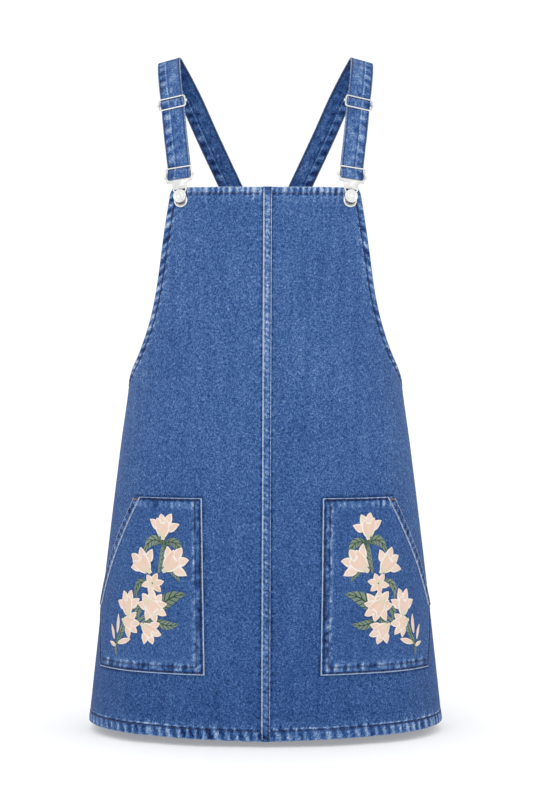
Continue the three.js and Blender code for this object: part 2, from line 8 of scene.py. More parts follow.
import bpy
import numpy as np
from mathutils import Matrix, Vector


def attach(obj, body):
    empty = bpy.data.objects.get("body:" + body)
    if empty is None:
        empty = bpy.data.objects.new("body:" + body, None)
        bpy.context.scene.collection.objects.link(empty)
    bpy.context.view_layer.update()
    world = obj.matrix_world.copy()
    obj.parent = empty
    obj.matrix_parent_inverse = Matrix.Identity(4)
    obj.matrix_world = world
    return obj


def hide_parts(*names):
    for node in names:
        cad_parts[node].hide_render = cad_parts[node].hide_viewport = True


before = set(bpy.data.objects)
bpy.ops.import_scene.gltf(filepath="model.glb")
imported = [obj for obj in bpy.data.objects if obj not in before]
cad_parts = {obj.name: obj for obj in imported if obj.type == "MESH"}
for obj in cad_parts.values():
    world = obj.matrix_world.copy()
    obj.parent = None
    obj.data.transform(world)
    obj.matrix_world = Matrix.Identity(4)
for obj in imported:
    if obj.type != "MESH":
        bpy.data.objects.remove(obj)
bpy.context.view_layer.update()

MM = 0.001

# Sizes that the solids have too
CLOTH = 1.4
TURNED = 1.4
SEAM_GAP = 0.3
LAID_GAP = 0.6
BIB_TOP = -176
BACK_TOP = -211
UNDERARM = -418
HEM = -860.5
HEM_LIFT = 4.5
EDGE_HEM = 9
SKIRT_HEM = 13
FELL_WIDTH = 11
FELL_THICK = 1.1
FELL_DRIFT = 2.6
POCKET_INNER = {"right": (78.8, 74.7), "left": (71.2, 67.6)}  # at the top and the bottom
POCKET_OUTER = {"right": (177.2, 268, 243.3), "left": (171.6, 262, 236)}  # top, slant end, bottom
POCKET_TOP = -564.5
SLANT_END = -706
POCKET_BOTTOM = -781
POCKET_THICK = 1.3
MOUTH_LIFT = 1.6
MOUTH_WIDTH = 12.4
MOUTH_THICK = 1.0
MOUTH_INSETS = (0, 0.3, 0.8, 1.5, 2.6, 4, 5.1, 6.2, 7.3, 8.4, 9.8, 10.9, 11.6, 12.1, MOUTH_WIDTH)
STRAP_WIDTH = 30
STRAP_THICK = 2.4
WIRE = 1.1
HOOK_OUT = 1.7
HOOK_HALF = 17
HOOK_TOP, HOOK_MIDDLE, HOOK_BOTTOM = 37.3, 26.5, 21
SLIDER_AT, SLIDER_HALF, SLIDER_HIGH = 128.5, 17, 8.2

# Sections of the body: depth below the shoulders, half width, front and back depth, and powers
SECTIONS = np.array([
    [140, 168, 97, 86, 3, 2.5],
    [174, 169.5, 105, 94, 3, 2.5],
    [211, 170.5, 112, 99.5, 2.9, 2.45],
    [270, 171.5, 121, 106, 2.7, 2.4],
    [345, 173, 128, 109, 2.5, 2.3],
    [418, 176.5, 133, 109, 2.3, 2.25],
    [500, 187.4, 138.5, 112, 2.2, 2.2],
    [600, 199.8, 146, 126, 2.2, 2.2],
    [720, 213.8, 155, 143, 2.2, 2.2],
    [870, 230, 166, 161, 2.2, 2.2],
])
# Armhole edges: depth below the shoulders, and reach from the centre line along the cloth
FRONT_ARMHOLE = np.array([
    [176, 115], [180, 120], [190, 123], [249, 134], [293, 142.3], [323, 150], [353, 162.3],
    [384, 184.5], [403, 210], [413, 231], [417, 251], [418, 275],
])
BACK_ARMHOLE = np.array([
    [211, 40], [215, 43.5], [250, 51], [290, 66], [326, 90], [358, 124], [386, 163], [404, 190],
    [413, 211], [417, 228], [418, 255],
])
# The strap's line: x, y, z, the yaw that turns its face outwards and the roll of its outer edge
STRAP_LINE = np.array([
    [106.5, -99.5, -188, 17, 0],
    [108.7, -95.6, -161.5, 17, 0],
    [110.6, -92.4, -139, 17, 0],
    [114, -84.5, -109, 14, 4],
    [117.4, -71, -78, 12, 7],
    [121, -52, -46, 9, 10],
    [124.2, -27, -17, 5, 14],
    [124.6, 0, -2.5, 0, 16],
    [119.8, 27, -8, -2, 15],
    [109, 50, -26, -3, 11],
    [95.6, 66, -52, -4, 7],
    [80.2, 77.5, -86, -4, 4],
    [64.2, 85.5, -120, -4, 2],
    [49, 90, -152, -4, 0],
    [34.6, 92.7, -182.5, -3, 0],
    [20.7, 94.1, -211, -4, 0],
    [17.3, 94.9, -219, -4, 0],
])


def hermite(keys, values):
    """A cubic through a table whose keys rise, as a function of an array."""
    keys = np.asarray(keys, float)
    values = np.asarray(values, float)
    before = np.maximum(np.arange(len(keys)) - 1, 0)
    after = np.minimum(np.arange(len(keys)) + 1, len(keys) - 1)
    slope = (values[after] - values[before]) / (keys[after] - keys[before])

    def at(x):
        x = np.asarray(x, float)
        i = np.clip(np.searchsorted(keys, x, side="right") - 1, 0, len(keys) - 2)
        span = keys[i + 1] - keys[i]
        t = np.clip((x - keys[i]) / span, 0, 1)
        start = values[i] * (1 + 2 * t) * (1 - t) ** 2 + slope[i] * span * t * (1 - t) ** 2
        return start + values[i + 1] * t * t * (3 - 2 * t) + slope[i + 1] * span * t * t * (t - 1)

    return at


def smoothstep(x, low, high):
    t = np.clip((x - low) / (high - low), 0, 1)
    return t * t * (3 - 2 * t)


def hump(x, width):
    """A soft hump of height one about zero."""
    return np.exp(-(x / width) ** 2)


def ripple(x, period):
    return np.sin(2 * math.pi * x / period)


def circle(sides):
    return np.linspace(0, 2 * math.pi, sides, endpoint=False)


def mirrored(points, sign):
    """Points of the wearer's left half, moved to the side that the sign says."""
    return points * np.array([sign, 1, 1])


def walk(line):
    """How far along a line of points each of them lies."""
    return np.concatenate([[0], np.cumsum(np.linalg.norm(np.diff(line, axis=0), axis=1))])


def unit(vectors):
    return vectors / np.maximum(np.linalg.norm(vectors, axis=-1, keepdims=True), 1e-9)


def knot_before(x, scale, shift):
    """The knot before each place, and a smooth share of the way to the next one."""
    x = np.asarray(x, float) / scale + shift
    i = np.floor(x).astype(int)
    return i, smoothstep(x - i, 0, 1)


def wobble(x, seed, scale):
    """A smooth random curve between -1 and 1, with about one swing per scale."""
    knots = np.random.default_rng(seed).uniform(-1, 1, 512)
    i, t = knot_before(x, scale, 200)
    return knots[i % 512] * (1 - t) + knots[(i + 1) % 512] * t


def wobble2(x, y, seed, scale):
    """A smooth random field between -1 and 1."""
    knots = np.random.default_rng(seed).uniform(-1, 1, (64, 64))
    i, s = knot_before(x, scale, 640)
    j, t = knot_before(y, scale, 640)
    low, high = (knots[i % 64, (j + k) % 64] * (1 - s) + knots[(i + 1) % 64, (j + k) % 64] * s
                 for k in (0, 1))
    return low * (1 - t) + high * t


# The surface of the dress. A place is a distance from the centre line along the cloth, and a z.

DEPTH_STEP = 2.0
DEPTHS = np.arange(130, 884, DEPTH_STEP)
SHARES = 97


class Side:
    """The front or the back of the body, as tables of x and y over depth and share of the walk."""

    def __init__(self, facing, depth_column, power_column, folds, seed):
        self.facing = facing
        self.folds = folds
        self.seed = seed
        half, deep, power = (hermite(SECTIONS[:, 0], SECTIONS[:, column])(DEPTHS)
                             for column in (1, depth_column, power_column))
        across = np.sin(np.linspace(0, math.pi / 2, 361))
        self.x, self.y = np.zeros((2, len(DEPTHS), SHARES))
        self.length = np.zeros(len(DEPTHS))
        shares = np.linspace(0, 1, SHARES)
        for i, (w, d, n) in enumerate(zip(half, deep, power)):
            x = w * across
            y = d * np.maximum(0, 1 - across ** n) ** (1 / n)
            walked = walk(np.stack([x, y], -1))
            self.length[i] = walked[-1]
            self.x[i] = np.interp(shares * walked[-1], walked, x)
            self.y[i] = np.interp(shares * walked[-1], walked, y)

    def seam(self, z):
        return np.interp(-np.asarray(z, float), DEPTHS, self.length)

    def bare(self, along, z):
        """Points on the smooth form, without folds."""
        along, z = np.broadcast_arrays(np.asarray(along, float), np.asarray(z, float))
        row = np.clip((-z - DEPTHS[0]) / DEPTH_STEP, 0, len(DEPTHS) - 1.001)
        share = np.clip(np.abs(along) / self.seam(z), 0, 1) * (SHARES - 1)
        share = np.minimum(share, SHARES - 1.001)
        i = row.astype(int)
        j = share.astype(int)
        s = row - i
        t = share - j
        point = []
        for grid in (self.x, self.y):
            low = grid[i, j] * (1 - t) + grid[i, j + 1] * t
            high = grid[i + 1, j] * (1 - t) + grid[i + 1, j + 1] * t
            point.append(low * (1 - s) + high * s)
        return np.stack([np.sign(along) * point[0], self.facing * point[1], z], -1)

    def normal(self, along, z):
        step = 2.0
        limit = self.seam(z)
        right = self.bare(np.clip(along + step, -limit, limit), z)
        left = self.bare(np.clip(along - step, -limit, limit), z)
        upwards = self.bare(along, z + step) - self.bare(along, z - step)
        normal = unit(np.cross(right - left, upwards))
        outwards = self.bare(along, z)
        outwards[..., 2] = 0
        flip = np.where((normal * outwards).sum(-1) < 0, -1.0, 1.0)
        return normal * flip[..., None]

    def at(self, along, z, out):
        """Points on the cloth, moved out from its outer face, folds included."""
        along, z, out = np.broadcast_arrays(
            np.asarray(along, float), np.asarray(z, float), np.asarray(out, float))
        high = out + drape(self, along, z)
        return self.bare(along, z) + self.normal(along, z) * high[..., None]


# Soft folds: where they run, as side, along at the top, z, along at the bottom, z, width, height
FRONT_FOLDS = [
    (-60, -430, -95, -850, 30, 1.6),
    (52, -470, 74, -850, 26, 1.3),
    (-150, -440, -185, -850, 34, 2.0),
    (150, -430, 190, -850, 32, 1.8),
    (-20, -560, -34, -850, 18, -0.9),
    (110, -520, 128, -850, 24, -1.3),
    (-112, -500, -140, -850, 22, -1.2),
    (-90, -230, -120, -420, 30, 1.0),
    (88, -240, 116, -430, 28, -0.9),
    (-170, -425, -110, -520, 16, -1.1),
    (172, -428, 118, -530, 17, -1.0),
    (-40, -300, 30, -420, 40, 0.7),
]
BACK_FOLDS = [
    (-40, -400, -66, -850, 30, 2.0),
    (36, -430, 60, -850, 28, 1.8),
    (-130, -430, -170, -850, 34, 2.4),
    (128, -440, 166, -850, 32, 2.2),
    (0, -500, 4, -850, 20, -1.5),
    (-90, -480, -112, -850, 24, -1.5),
    (92, -470, 110, -850, 24, -1.6),
    (-60, -340, 50, -372, 26, -1.3),
    (-160, -420, -90, -500, 16, -1.3),
    (158, -422, 96, -505, 16, -1.2),
    (-200, -520, -210, -850, 22, -1.4),
    (202, -500, 214, -850, 22, -1.3),
]


def drape(side, along, z):
    """How far the soft folds lift the cloth, in millimetres, dying out at the side seams."""
    total = np.zeros(np.broadcast(along, z).shape)
    for a0, z0, a1, z1, width, height in side.folds:
        length = math.hypot(a1 - a0, z1 - z0)
        t = ((along - a0) * (a1 - a0) + (z - z0) * (z1 - z0)) / length ** 2
        off = ((along - a0) * (z1 - z0) - (z - z0) * (a1 - a0)) / length
        off = off + 5 * wobble(z, int(abs(a0 * 7 + z0)), 90)
        fade = smoothstep(t, -0.15, 0.35) * (1 - smoothstep(t, 1.05, 1.3))
        if z1 > -800:
            fade = smoothstep(t, -0.1, 0.4) * (1 - smoothstep(t, 0.6, 1.1))
        total += height * np.exp(-(off / width) ** 2 * 2) * fade
    total += 0.25 * wobble2(along, z, side.seed, 34)
    return total * smoothstep(side.seam(z) - np.abs(along), 2, 45)


FRONT = Side(-1, 2, 4, FRONT_FOLDS, 41)
BACK = Side(1, 3, 5, BACK_FOLDS, 42)


def seam_at(z):
    """Where the centre seam runs: it drifts sideways towards the bib's top."""
    return FELL_DRIFT * (z - HEM) / (BIB_TOP - HEM)


def hem_lift(share, z):
    """How far a row of the skirt curves up towards the side seam."""
    down = np.clip((UNDERARM - z) / (UNDERARM - HEM), 0, 1)
    return HEM_LIFT * down ** 4 * np.sin(math.pi / 2 * share)


# Meshes

def mesh_object(name, points, faces, uv=None, values=None):
    """A new piece from points in millimetres, with one uv and named values for each point."""
    mesh = bpy.data.meshes.new(name)
    mesh.from_pydata((np.asarray(points) * MM).tolist(), [], faces)
    mesh.polygons.foreach_set("use_smooth", [True] * len(mesh.polygons))
    corner = np.zeros(len(mesh.loops), np.int32)
    mesh.loops.foreach_get("vertex_index", corner)
    if uv is not None:
        layer = mesh.uv_layers.new(name="UVMap")
        layer.data.foreach_set("uv", np.asarray(uv, np.float32)[corner].ravel())
    for key, value in (values or {}).items():
        attribute = mesh.attributes.new(key, "FLOAT", "POINT")
        attribute.data.foreach_set("value", np.asarray(value, np.float32).ravel())
    mesh.update()
    piece = bpy.data.objects.new(name, mesh)
    bpy.context.scene.collection.objects.link(piece)
    return piece


def finish_piece(piece, made, nodes=()):
    piece.data.materials.append(made)
    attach(piece, "root")
    if nodes:
        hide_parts(*nodes)
    return piece


def face_out(points, faces):
    """The faces of a closed form, turned over where they enclose a negative volume."""
    volume = 0.0
    for corners in {len(face) for face in faces}:
        ring = points[np.array([face for face in faces if len(face) == corners])]
        for k in range(1, corners - 1):
            volume += np.einsum("ij,ij->", ring[:, 0], np.cross(ring[:, k], ring[:, k + 1]))
    return [tuple(face[::-1]) for face in faces] if volume < 0 else [tuple(face) for face in faces]


def wall(outer, inner):
    """The points and faces of a closed wall between two grids of points."""
    rows, columns = outer.shape[:2]
    count = rows * columns
    index = np.arange(count).reshape(rows, columns)
    ring = np.concatenate([index[0, :-1], index[:-1, -1], index[-1, :0:-1], index[:0:-1, 0]])
    after = np.roll(ring, -1)
    rim = np.stack([ring, ring + count, after + count, after], -1)
    face = np.stack([index[:-1, :-1], index[:-1, 1:], index[1:, 1:], index[1:, :-1]], -1)
    face = face.reshape(-1, 4)
    points = np.concatenate([outer.reshape(-1, 3), inner.reshape(-1, 3)])
    return points, face_out(points, np.concatenate([face, face[:, ::-1] + count, rim]).tolist())


def tube_faces(rings, sides, closed=False):
    """The faces of a tube of rings, which closes on itself or has a cap at each end."""
    index = np.arange(rings * sides).reshape(rings, sides)
    if closed:
        index = np.concatenate([index, index[:1]])
    after = np.roll(index, -1, axis=1)
    faces = np.stack([index[:-1], after[:-1], after[1:], index[1:]], -1).reshape(-1, 4).tolist()
    if not closed:
        faces += [index[0, ::-1].tolist(), index[-1].tolist()]
    return faces


def shell(name, outer, inner, uv, wear_and_shade):
    """A piece of cloth between two grids of points."""
    points, faces = wall(outer, inner)
    inside = np.repeat([0, 1], wear_and_shade.size)
    # These values hold wear and painted shade alike; the inner face takes a fifth of them.
    tone_shift = np.concatenate([wear_and_shade.ravel(), wear_and_shade.ravel() * 0.2])
    return mesh_object(name, points, faces, np.tile(uv.reshape(-1, 2), (2, 1)),
                       {"wear_and_shade": tone_shift, "inside": inside})


def grid_area(grid):
    """The area of a grid of points, in square millimetres."""
    a = np.cross(grid[1:, 1:] - grid[:-1, :-1], grid[1:, :-1] - grid[:-1, 1:])
    return float(np.linalg.norm(a, axis=-1).sum() / 2)


def curve_distance(along, z, line):
    """The distance from each place to a line of (along, z) places, and how far down it that is."""
    a = line[:-1]
    step = line[1:] - a
    length = np.hypot(step[:, 0], step[:, 1])
    start = np.concatenate([[0], np.cumsum(length)[:-1]])
    px = along.ravel()[:, None] - a[None, :, 0]
    pz = z.ravel()[:, None] - a[None, :, 1]
    t = np.clip((px * step[:, 0] + pz * step[:, 1]) / np.maximum(length, 1e-9) ** 2, 0, 1)
    gap = np.hypot(px - t * step[:, 0], pz - t * step[:, 1])
    best = gap.argmin(1)
    pick = np.arange(len(best))
    down = start[best] + t[pick, best] * length[best]
    return gap[pick, best].reshape(along.shape), down.reshape(along.shape)


def rows_between(low, high, step):
    return np.linspace(low, high, max(2, int(round(abs(high - low) / step)) + 1))


# How far from an edge its rounding has its own rows
EDGE_INSETS = np.array([0, 0.35, 0.9, 1.7])

# How each turned edge puckers: period, slant, sharpness, relief, reach past the stitching, pale
# fold, contrast, wear in the band, evenness, wear past the stitching, and the pale line beside it
LOOKS = {
    "top": (7.6, 0.05, 1.3, 0.4, 6.5, 0.85, 1.1, 0.46, 0.7, 0.1, 0.0),
    "armhole": (13.0, 0.95, 1.0, 0.45, 3.0, 0.3, 1.1, 0.08, 0.7, 0.05, 0.15),
    "hem": (12.4, 0.25, 1.6, 0.55, 4.5, 0.6, 1.2, 0.5, 0.85, 0.05, 0.95),
    "side": (10.0, 0.3, 1.2, 0.2, 3.0, 0.0, 0.6, 0.0, 0.5, 0.0, 0.0),
    "pocket": (9.2, 0.1, 1.3, 0.4, 2.5, 1.6, 0.3, -0.12, 0.45, 0.1, 0.0),
    "pocket_top": (9.0, 0.1, 1.5, 0.4, 3.0, 1.5, 0.5, -0.35, 0.5, 0.0, 0.0),
    "pocket_side": (9.0, 0.1, 1.5, 0.3, 3.0, 1.5, 0.5, -0.2, 0.5, 0.15, 0.0),
}


def puckers(distance, down, width, seed, look):
    """Relief, and wear with painted shade in the groove at its stitching, of a turned and stitched edge,
    by distance from it and place along it.
    """
    period, slant, sharp, high, past, pale, contrast, tone_shift, even, after, line = LOOKS[look]
    drift = down + slant * distance + (0.24 * period) * wobble(down, seed, 2.1 * period)
    wave = 0.5 + 0.5 * ripple(drift, period)
    wave = even * (1.7 * wave ** sharp - 0.75) + (1.2 - even) * wobble(drift, seed + 1, period * 0.6)
    wave = wave + 0.22 * wobble2(drift, distance, seed + 5, 3.2)
    strength = 0.85 + 0.4 * wobble(down, seed + 2, 33)
    band = np.sin(math.pi * np.clip(distance / width, 0, 1)) ** 0.45
    fork = 0.5 + 0.5 * ripple(drift + 0.9 * (distance - width), period)
    fork = np.maximum(wave, 1.5 * fork ** 3 - 0.6)
    past_by = distance - width
    beyond = np.exp(-np.maximum(past_by - 1, 0) / past) * (past_by >= 0.6)
    groove = hump(past_by, 0.9)
    rim = hump(distance, 1.3)
    beside = hump(past_by - 1.9, 0.9) * (0.7 + 0.6 * wobble(down, seed + 6, 9))
    relief = band * (0.3 + high * wave * strength) - 0.34 * groove + 0.2 * fork * beyond
    # The groove at the stitching is darkened as painted shade.
    wear_and_shade = band * (contrast * wave * strength + tone_shift) + pale * rim - 0.9 * groove
    if look == "hem":
        wear_and_shade = np.minimum(wear_and_shade, 0.88 + 0.25 * wobble(down, seed + 7, 6))
    wear_and_shade = wear_and_shade + beyond * (0.75 * contrast * fork * strength + after) + line * beside
    return relief, wear_and_shade


def rounding(distance, radius):
    """How far a folded edge falls back from the face near its rim."""
    d = np.clip(distance, 0, radius)
    return radius - np.sqrt(np.maximum(radius ** 2 - (radius - d) ** 2, 0))


class Edges:
    """Relief, and wear with painted shade, gathered from several edges: each place takes those of its
    nearest edge.
    """

    def __init__(self, shape, fade, reach):
        self.relief, self.wear_and_shade = np.zeros((2, *shape))
        self.nearest = np.full(shape, 1e3)
        self.fade = fade
        self.reach = reach

    def take(self, gap, width, relief, wear_and_shade):
        here = (gap < self.nearest) & (gap < width + self.reach)
        fade = 1 - smoothstep(gap, width + self.fade, width + self.reach)
        self.relief = np.where(here, relief * fade, self.relief)
        self.wear_and_shade = np.where(here, wear_and_shade * fade, self.wear_and_shade)
        self.nearest = np.minimum(self.nearest, gap)


# Body panels

def side_edge(side, table):
    """How far a panel reaches from the centre line: to its armhole above, to the side seam below."""
    reach = hermite(table[:, 0], table[:, 1])

    def edge(z):
        seam = side.seam(z) - SEAM_GAP / 2
        return np.where(np.asarray(z) > UNDERARM, np.minimum(reach(-np.asarray(z)), seam), seam)

    return edge


FRONT_EDGE = side_edge(FRONT, FRONT_ARMHOLE)
BACK_EDGE = side_edge(BACK, BACK_ARMHOLE)


def armhole_line(edge, top):
    """The armhole's edge as places, from the top edge down to the underarm."""
    t = np.linspace(0, math.pi / 2, 70)
    z = top + (UNDERARM - top) * np.sin(t)
    return np.stack([edge(z), z], -1)


def panel(start, edge, top, columns, row_step):
    """One cloth panel: a grid of places from a start line to its outer edge."""
    turned = top - EDGE_INSETS
    above = top - 2.6 + (UNDERARM - top + 2.6) * np.sin(
        np.linspace(0, math.pi / 2, int((top - UNDERARM) / row_step * 1.25)))
    below = rows_between(UNDERARM, HEM + SKIRT_HEM + 4, row_step)[1:]
    low = rows_between(HEM + SKIRT_HEM + 4, HEM + 2.6, 1.7)[1:]
    z = np.concatenate([turned, above, below, low, HEM + EDGE_INSETS[::-1]])
    shares = np.linspace(0, 1, columns)
    insets = np.array([1.2, 0.55, 0.15, 0])
    share = np.concatenate([shares, np.ones(len(insets))])
    inset = np.concatenate([np.full(columns, 2.2), insets])
    zz = z[:, None] + hem_lift(share[None, :], z[:, None])
    reach = edge(zz) - inset
    along = start(zz) + (reach - start(zz)) * share
    return along, zz


def panel_relief(side, along, z, top, line, seed):
    """Relief, wear with painted shade, and turned thickness of a panel at each place, and its nearest
    edge.
    """
    edges = Edges(along.shape, 8, 20)
    far = np.abs(along)
    hem_line = HEM + hem_lift(far / side.seam(z), HEM)
    distance, down = curve_distance(far, z, line)
    for gap, place, width, number, look in (
            (top - z, along, EDGE_HEM - 0.4, seed, "top"),
            (z - hem_line, along, SKIRT_HEM - 0.5, seed + 10, "hem"),
            (distance, down + 300 * (along < 0), EDGE_HEM - 0.5, seed + 20, "armhole")):
        edges.take(gap, width, *puckers(gap, place, width, number, look))
    side_gap = side.seam(z) - far
    near_seam = (z < UNDERARM + 2) & (side_gap < 16) & (edges.nearest > EDGE_HEM)
    r, w = puckers(side_gap, z, 7.5, seed + 30, "side")
    fade = 1 - smoothstep(side_gap, 8, 15)
    relief = np.where(near_seam, r * fade * 0.7, edges.relief)
    wear_and_shade = np.where(near_seam, w * fade * 0.8, edges.wear_and_shade)
    turned = (edges.nearest < EDGE_HEM) | (z < HEM + SKIRT_HEM)
    turned |= (side_gap < EDGE_HEM) & (z < UNDERARM)
    return relief, wear_and_shade, turned, edges.nearest


def pocket_inner(word, z):
    return np.interp(-z, [-POCKET_TOP, -POCKET_BOTTOM], POCKET_INNER[word])


def pocket_reach(word, z):
    return np.interp(-z, [-POCKET_TOP, -SLANT_END, -POCKET_BOTTOM], POCKET_OUTER[word])


def pocket_shadow(far, z, word):
    """A painted shadow: the darker line that the pocket's edge casts on the panel beside it."""
    beside = np.maximum.reduce([
        pocket_inner(word, z) - far, z - POCKET_TOP, POCKET_BOTTOM - z,
        (far - pocket_reach(word, z)) * 0.8])
    return -0.5 * hump(beside - 0.8, 1.1) * (beside > -1)


def build_panel(node, side, start, edge, top, columns, row_step, sign, seed):
    """One panel's cloth, dressed over its solid, and its flat area in square metres."""
    along, z = panel(start, edge, top, columns, row_step)
    along = along * sign
    if node == "back":
        along = np.concatenate([-along[:, :0:-1], along], 1)
        z = np.concatenate([z[:, :0:-1], z], 1)
    relief, wear_and_shade, turned, nearest = panel_relief(side, along, z, top, armhole_line(edge, top), seed)
    if node != "back":
        gap = np.abs(along - seam_at(z))
        beside = np.exp(-(np.maximum(gap - FELL_WIDTH / 2, 0) / 4) ** 2) * (gap > FELL_WIDTH / 2)
        wave = ripple(z + 3 * wobble(z, seed + 41, 20), 10.5)
        # A painted shadow along the outside of each edge of the felled seam.
        shadow = hump(gap - FELL_WIDTH / 2 - 0.7, 0.9)
        relief += 0.16 * wave * beside
        wear_and_shade += 0.22 * wave * beside - 0.45 * shadow
        wear_and_shade += pocket_shadow(np.abs(along), z, "right" if along.mean() < 0 else "left")
    fall = rounding(nearest, 1.2)
    near_hem = np.exp(-np.maximum(z - HEM, 0) / 4)
    z = z + 0.45 * wobble(along, seed + 50, 4.6) * near_hem
    outer = side.at(along, z, relief - fall)
    inner = side.at(along, z, fall * 0.5 - CLOTH - TURNED * turned)
    cloth = shell(f"cloth_{node}", outer, inner, np.stack([along, z], -1) / 10, wear_and_shade)
    finish_piece(cloth, DENIM, [node])
    return cloth, grid_area(side.bare(along, z)) * MM * MM


# Materials

class Material:
    """A new material, with short calls that add a node and set or join its sockets."""

    def __init__(self, name):
        self.made = bpy.data.materials.new(name)
        self.made.use_nodes = True
        self.shader = self.made.node_tree.nodes["Principled BSDF"]

    def fill(self, node, values):
        for key, value in values.items():
            if isinstance(value, bpy.types.NodeSocket):
                self.made.node_tree.links.new(value, node.inputs[key])
            else:
                node.inputs[key].default_value = value
        return node

    def add(self, kind, values, **settings):
        node = self.made.node_tree.nodes.new("ShaderNode" + kind)
        for key, value in settings.items():
            setattr(node, key, value)
        return self.fill(node, values)

    def finish(self, **values):
        """Set the shader's sockets, named here with underscores for their spaces."""
        self.fill(self.shader, {key.replace("_", " "): value for key, value in values.items()})
        return self.made

    def place(self, kind):
        return self.add("TexCoord", {}).outputs[kind]

    def attribute(self, key):
        return self.add("Attribute", {}, attribute_name=key).outputs["Fac"]

    def math(self, operation, *values, clamp=False):
        node = self.add("Math", dict(enumerate(values)), operation=operation, use_clamp=clamp)
        return node.outputs[0]

    def noise(self, vector, scale, detail=2.0, roughness=0.5, distortion=0.0, stretch=None):
        if stretch:
            vector = self.add("Mapping", {"Vector": vector, "Scale": (*stretch, 1)}).outputs[0]
        return self.add("TexNoise", {
            "Vector": vector, "Scale": scale, "Detail": detail, "Roughness": roughness,
            "Distortion": distortion}).outputs["Fac"]

    def waves(self, vector, direction, scale, distortion, **more):
        values = {"Vector": vector, "Scale": scale, "Distortion": distortion, "Detail": 1.0}
        return self.add("TexWave", {**values, **more}, bands_direction=direction).outputs["Fac"]

    def ramp(self, factor, stops):
        node = self.add("ValToRGB", {0: factor})
        elements = node.color_ramp.elements
        while len(elements) < len(stops):
            elements.new(0.5)
        for element, (position, colour) in zip(elements, stops):
            element.position = position
            element.color = colour
        return node.outputs[0]

    def blend(self, factor, a, b):
        node = self.add("Mix", {}, data_type="RGBA")
        return self.fill(node, {"Factor": factor, "A": a, "B": b}).outputs["Result"]

    def step(self, source, low, high):
        return self.add("MapRange", {"Value": source, "From Min": low, "From Max": high},
                        interpolation_type="SMOOTHSTEP").outputs[0]

    def worms(self, vector, scale):
        """Short squiggling lines: where a noise passes through its middle value."""
        centred = self.math("SUBTRACT", self.noise(vector, scale, 1.0, 0.5, 0.9), 0.5)
        steep = self.math("MULTIPLY", self.math("ABSOLUTE", centred), 9.0)
        return self.math("SUBTRACT", 1.0, steep, clamp=True)

    def bump(self, height, strength, distance):
        return self.add("Bump", {"Strength": strength, "Distance": distance, "Height": height}).outputs[0]


def srgb(r, g, b):
    def linear(c):
        c /= 255
        return c / 12.92 if c <= 0.04045 else ((c + 0.055) / 1.055) ** 2.4
    return (linear(r), linear(g), linear(b), 1.0)


LIGHT = 1.22  # how much brighter a cloth shows than its own colour in this scene's light
HAZE = 0.012  # and the white that its gloss adds


def shown(r, g, b):
    """The cloth colour that shows as this colour in this scene's light."""
    return tuple(max(0.002, (c - HAZE) / LIGHT) for c in srgb(r, g, b)[:3]) + (1.0,)


DENIM_STOPS = [
    (0.0, shown(22, 40, 74)),
    (0.25, shown(42, 68, 116)),
    (0.5, shown(66, 100, 157)),
    (0.74, shown(106, 138, 186)),
    (1.0, shown(184, 200, 222)),
]


def denim(name, lift=0.0, mottle=1.0, shade_to_hem=0.0):
    """Washed indigo twill: squiggling slubs, vertical streaks, faded ridges and a diagonal weave, with
    painted shade that can darken it towards the hem.
    """
    made = Material(name)
    uv = made.place("UV")
    moved = made.add("Mapping", {"Vector": uv, "Location": (31.7, 12.9, 0)}).outputs[0]
    slubs = made.noise(uv, 4.6, 2.0, 0.6, 0.8)
    value = None
    for source, middle, amount in (
            (made.worms(uv, 3.3), 0.4, 0.22), (made.worms(moved, 3.1), 0.4, -0.17), (slubs, 0.5, 0.75),
            (made.noise(uv, 7.5, 2.0, 0.6, 0.4, (1.0, 0.3)), 0.5, 0.5),
            (made.noise(uv, 0.9, 3.0, 0.6, 0.2, (1.0, 0.10)), 0.5, 0.2),
            (made.noise(uv, 0.11, 2.0, 0.5, 0.3), 0.5, 0.1)):
        scaled = made.math("MULTIPLY", made.math("SUBTRACT", source, middle), amount * mottle)
        value = scaled if value is None else made.math("ADD", value, scaled)
    # The values read here hold the cloth's wear together with painted shade: shadow lines beside edges and
    # darkened grooves.
    value = made.math("ADD", value, made.math("MULTIPLY", made.attribute("wear_and_shade"), 0.5))
    # Painted shade: the cloth darkens the lower it hangs, towards the hem.
    height = made.add("SeparateXYZ", {0: made.place("Object")}).outputs["Z"]
    hem_shade = made.add("MapRange", {
        "Value": height, "From Min": -0.42, "From Max": -0.84, "To Min": 0.5 + lift,
        "To Max": 0.5 + lift - shade_to_hem}).outputs[0]
    value = made.math("ADD", value, hem_shade, clamp=True)
    wrong = made.ramp(value, [
        (0.0, shown(70, 92, 130)), (0.5, shown(128, 150, 184)), (1.0, shown(190, 202, 220))])
    weave = made.waves(uv, "DIAGONAL", 6.6, 1.4, **{"Detail Scale": 2.0})
    raised = made.math("ADD", made.math("MULTIPLY", weave, 0.35), slubs)
    return made.finish(
        Base_Color=made.blend(made.attribute("inside"), made.ramp(value, DENIM_STOPS), wrong),
        Normal=made.bump(raised, 0.5, 0.0004), Roughness=0.92, Specular_IOR_Level=0.12,
        Sheen_Weight=0.04, Sheen_Roughness=0.6)


def thread(name, colour):
    """Twisted sewing thread."""
    made = Material(name)
    grain = made.noise(made.place("Object"), 900, 2.0, 0.6)
    dark = tuple(0.55 * c for c in colour[:3]) + (1.0,)
    pale = tuple(min(1.0, 1.35 * c) for c in colour[:3]) + (1.0,)
    return made.finish(Base_Color=made.ramp(grain, [(0.3, dark), (0.7, pale)]), Roughness=0.6)


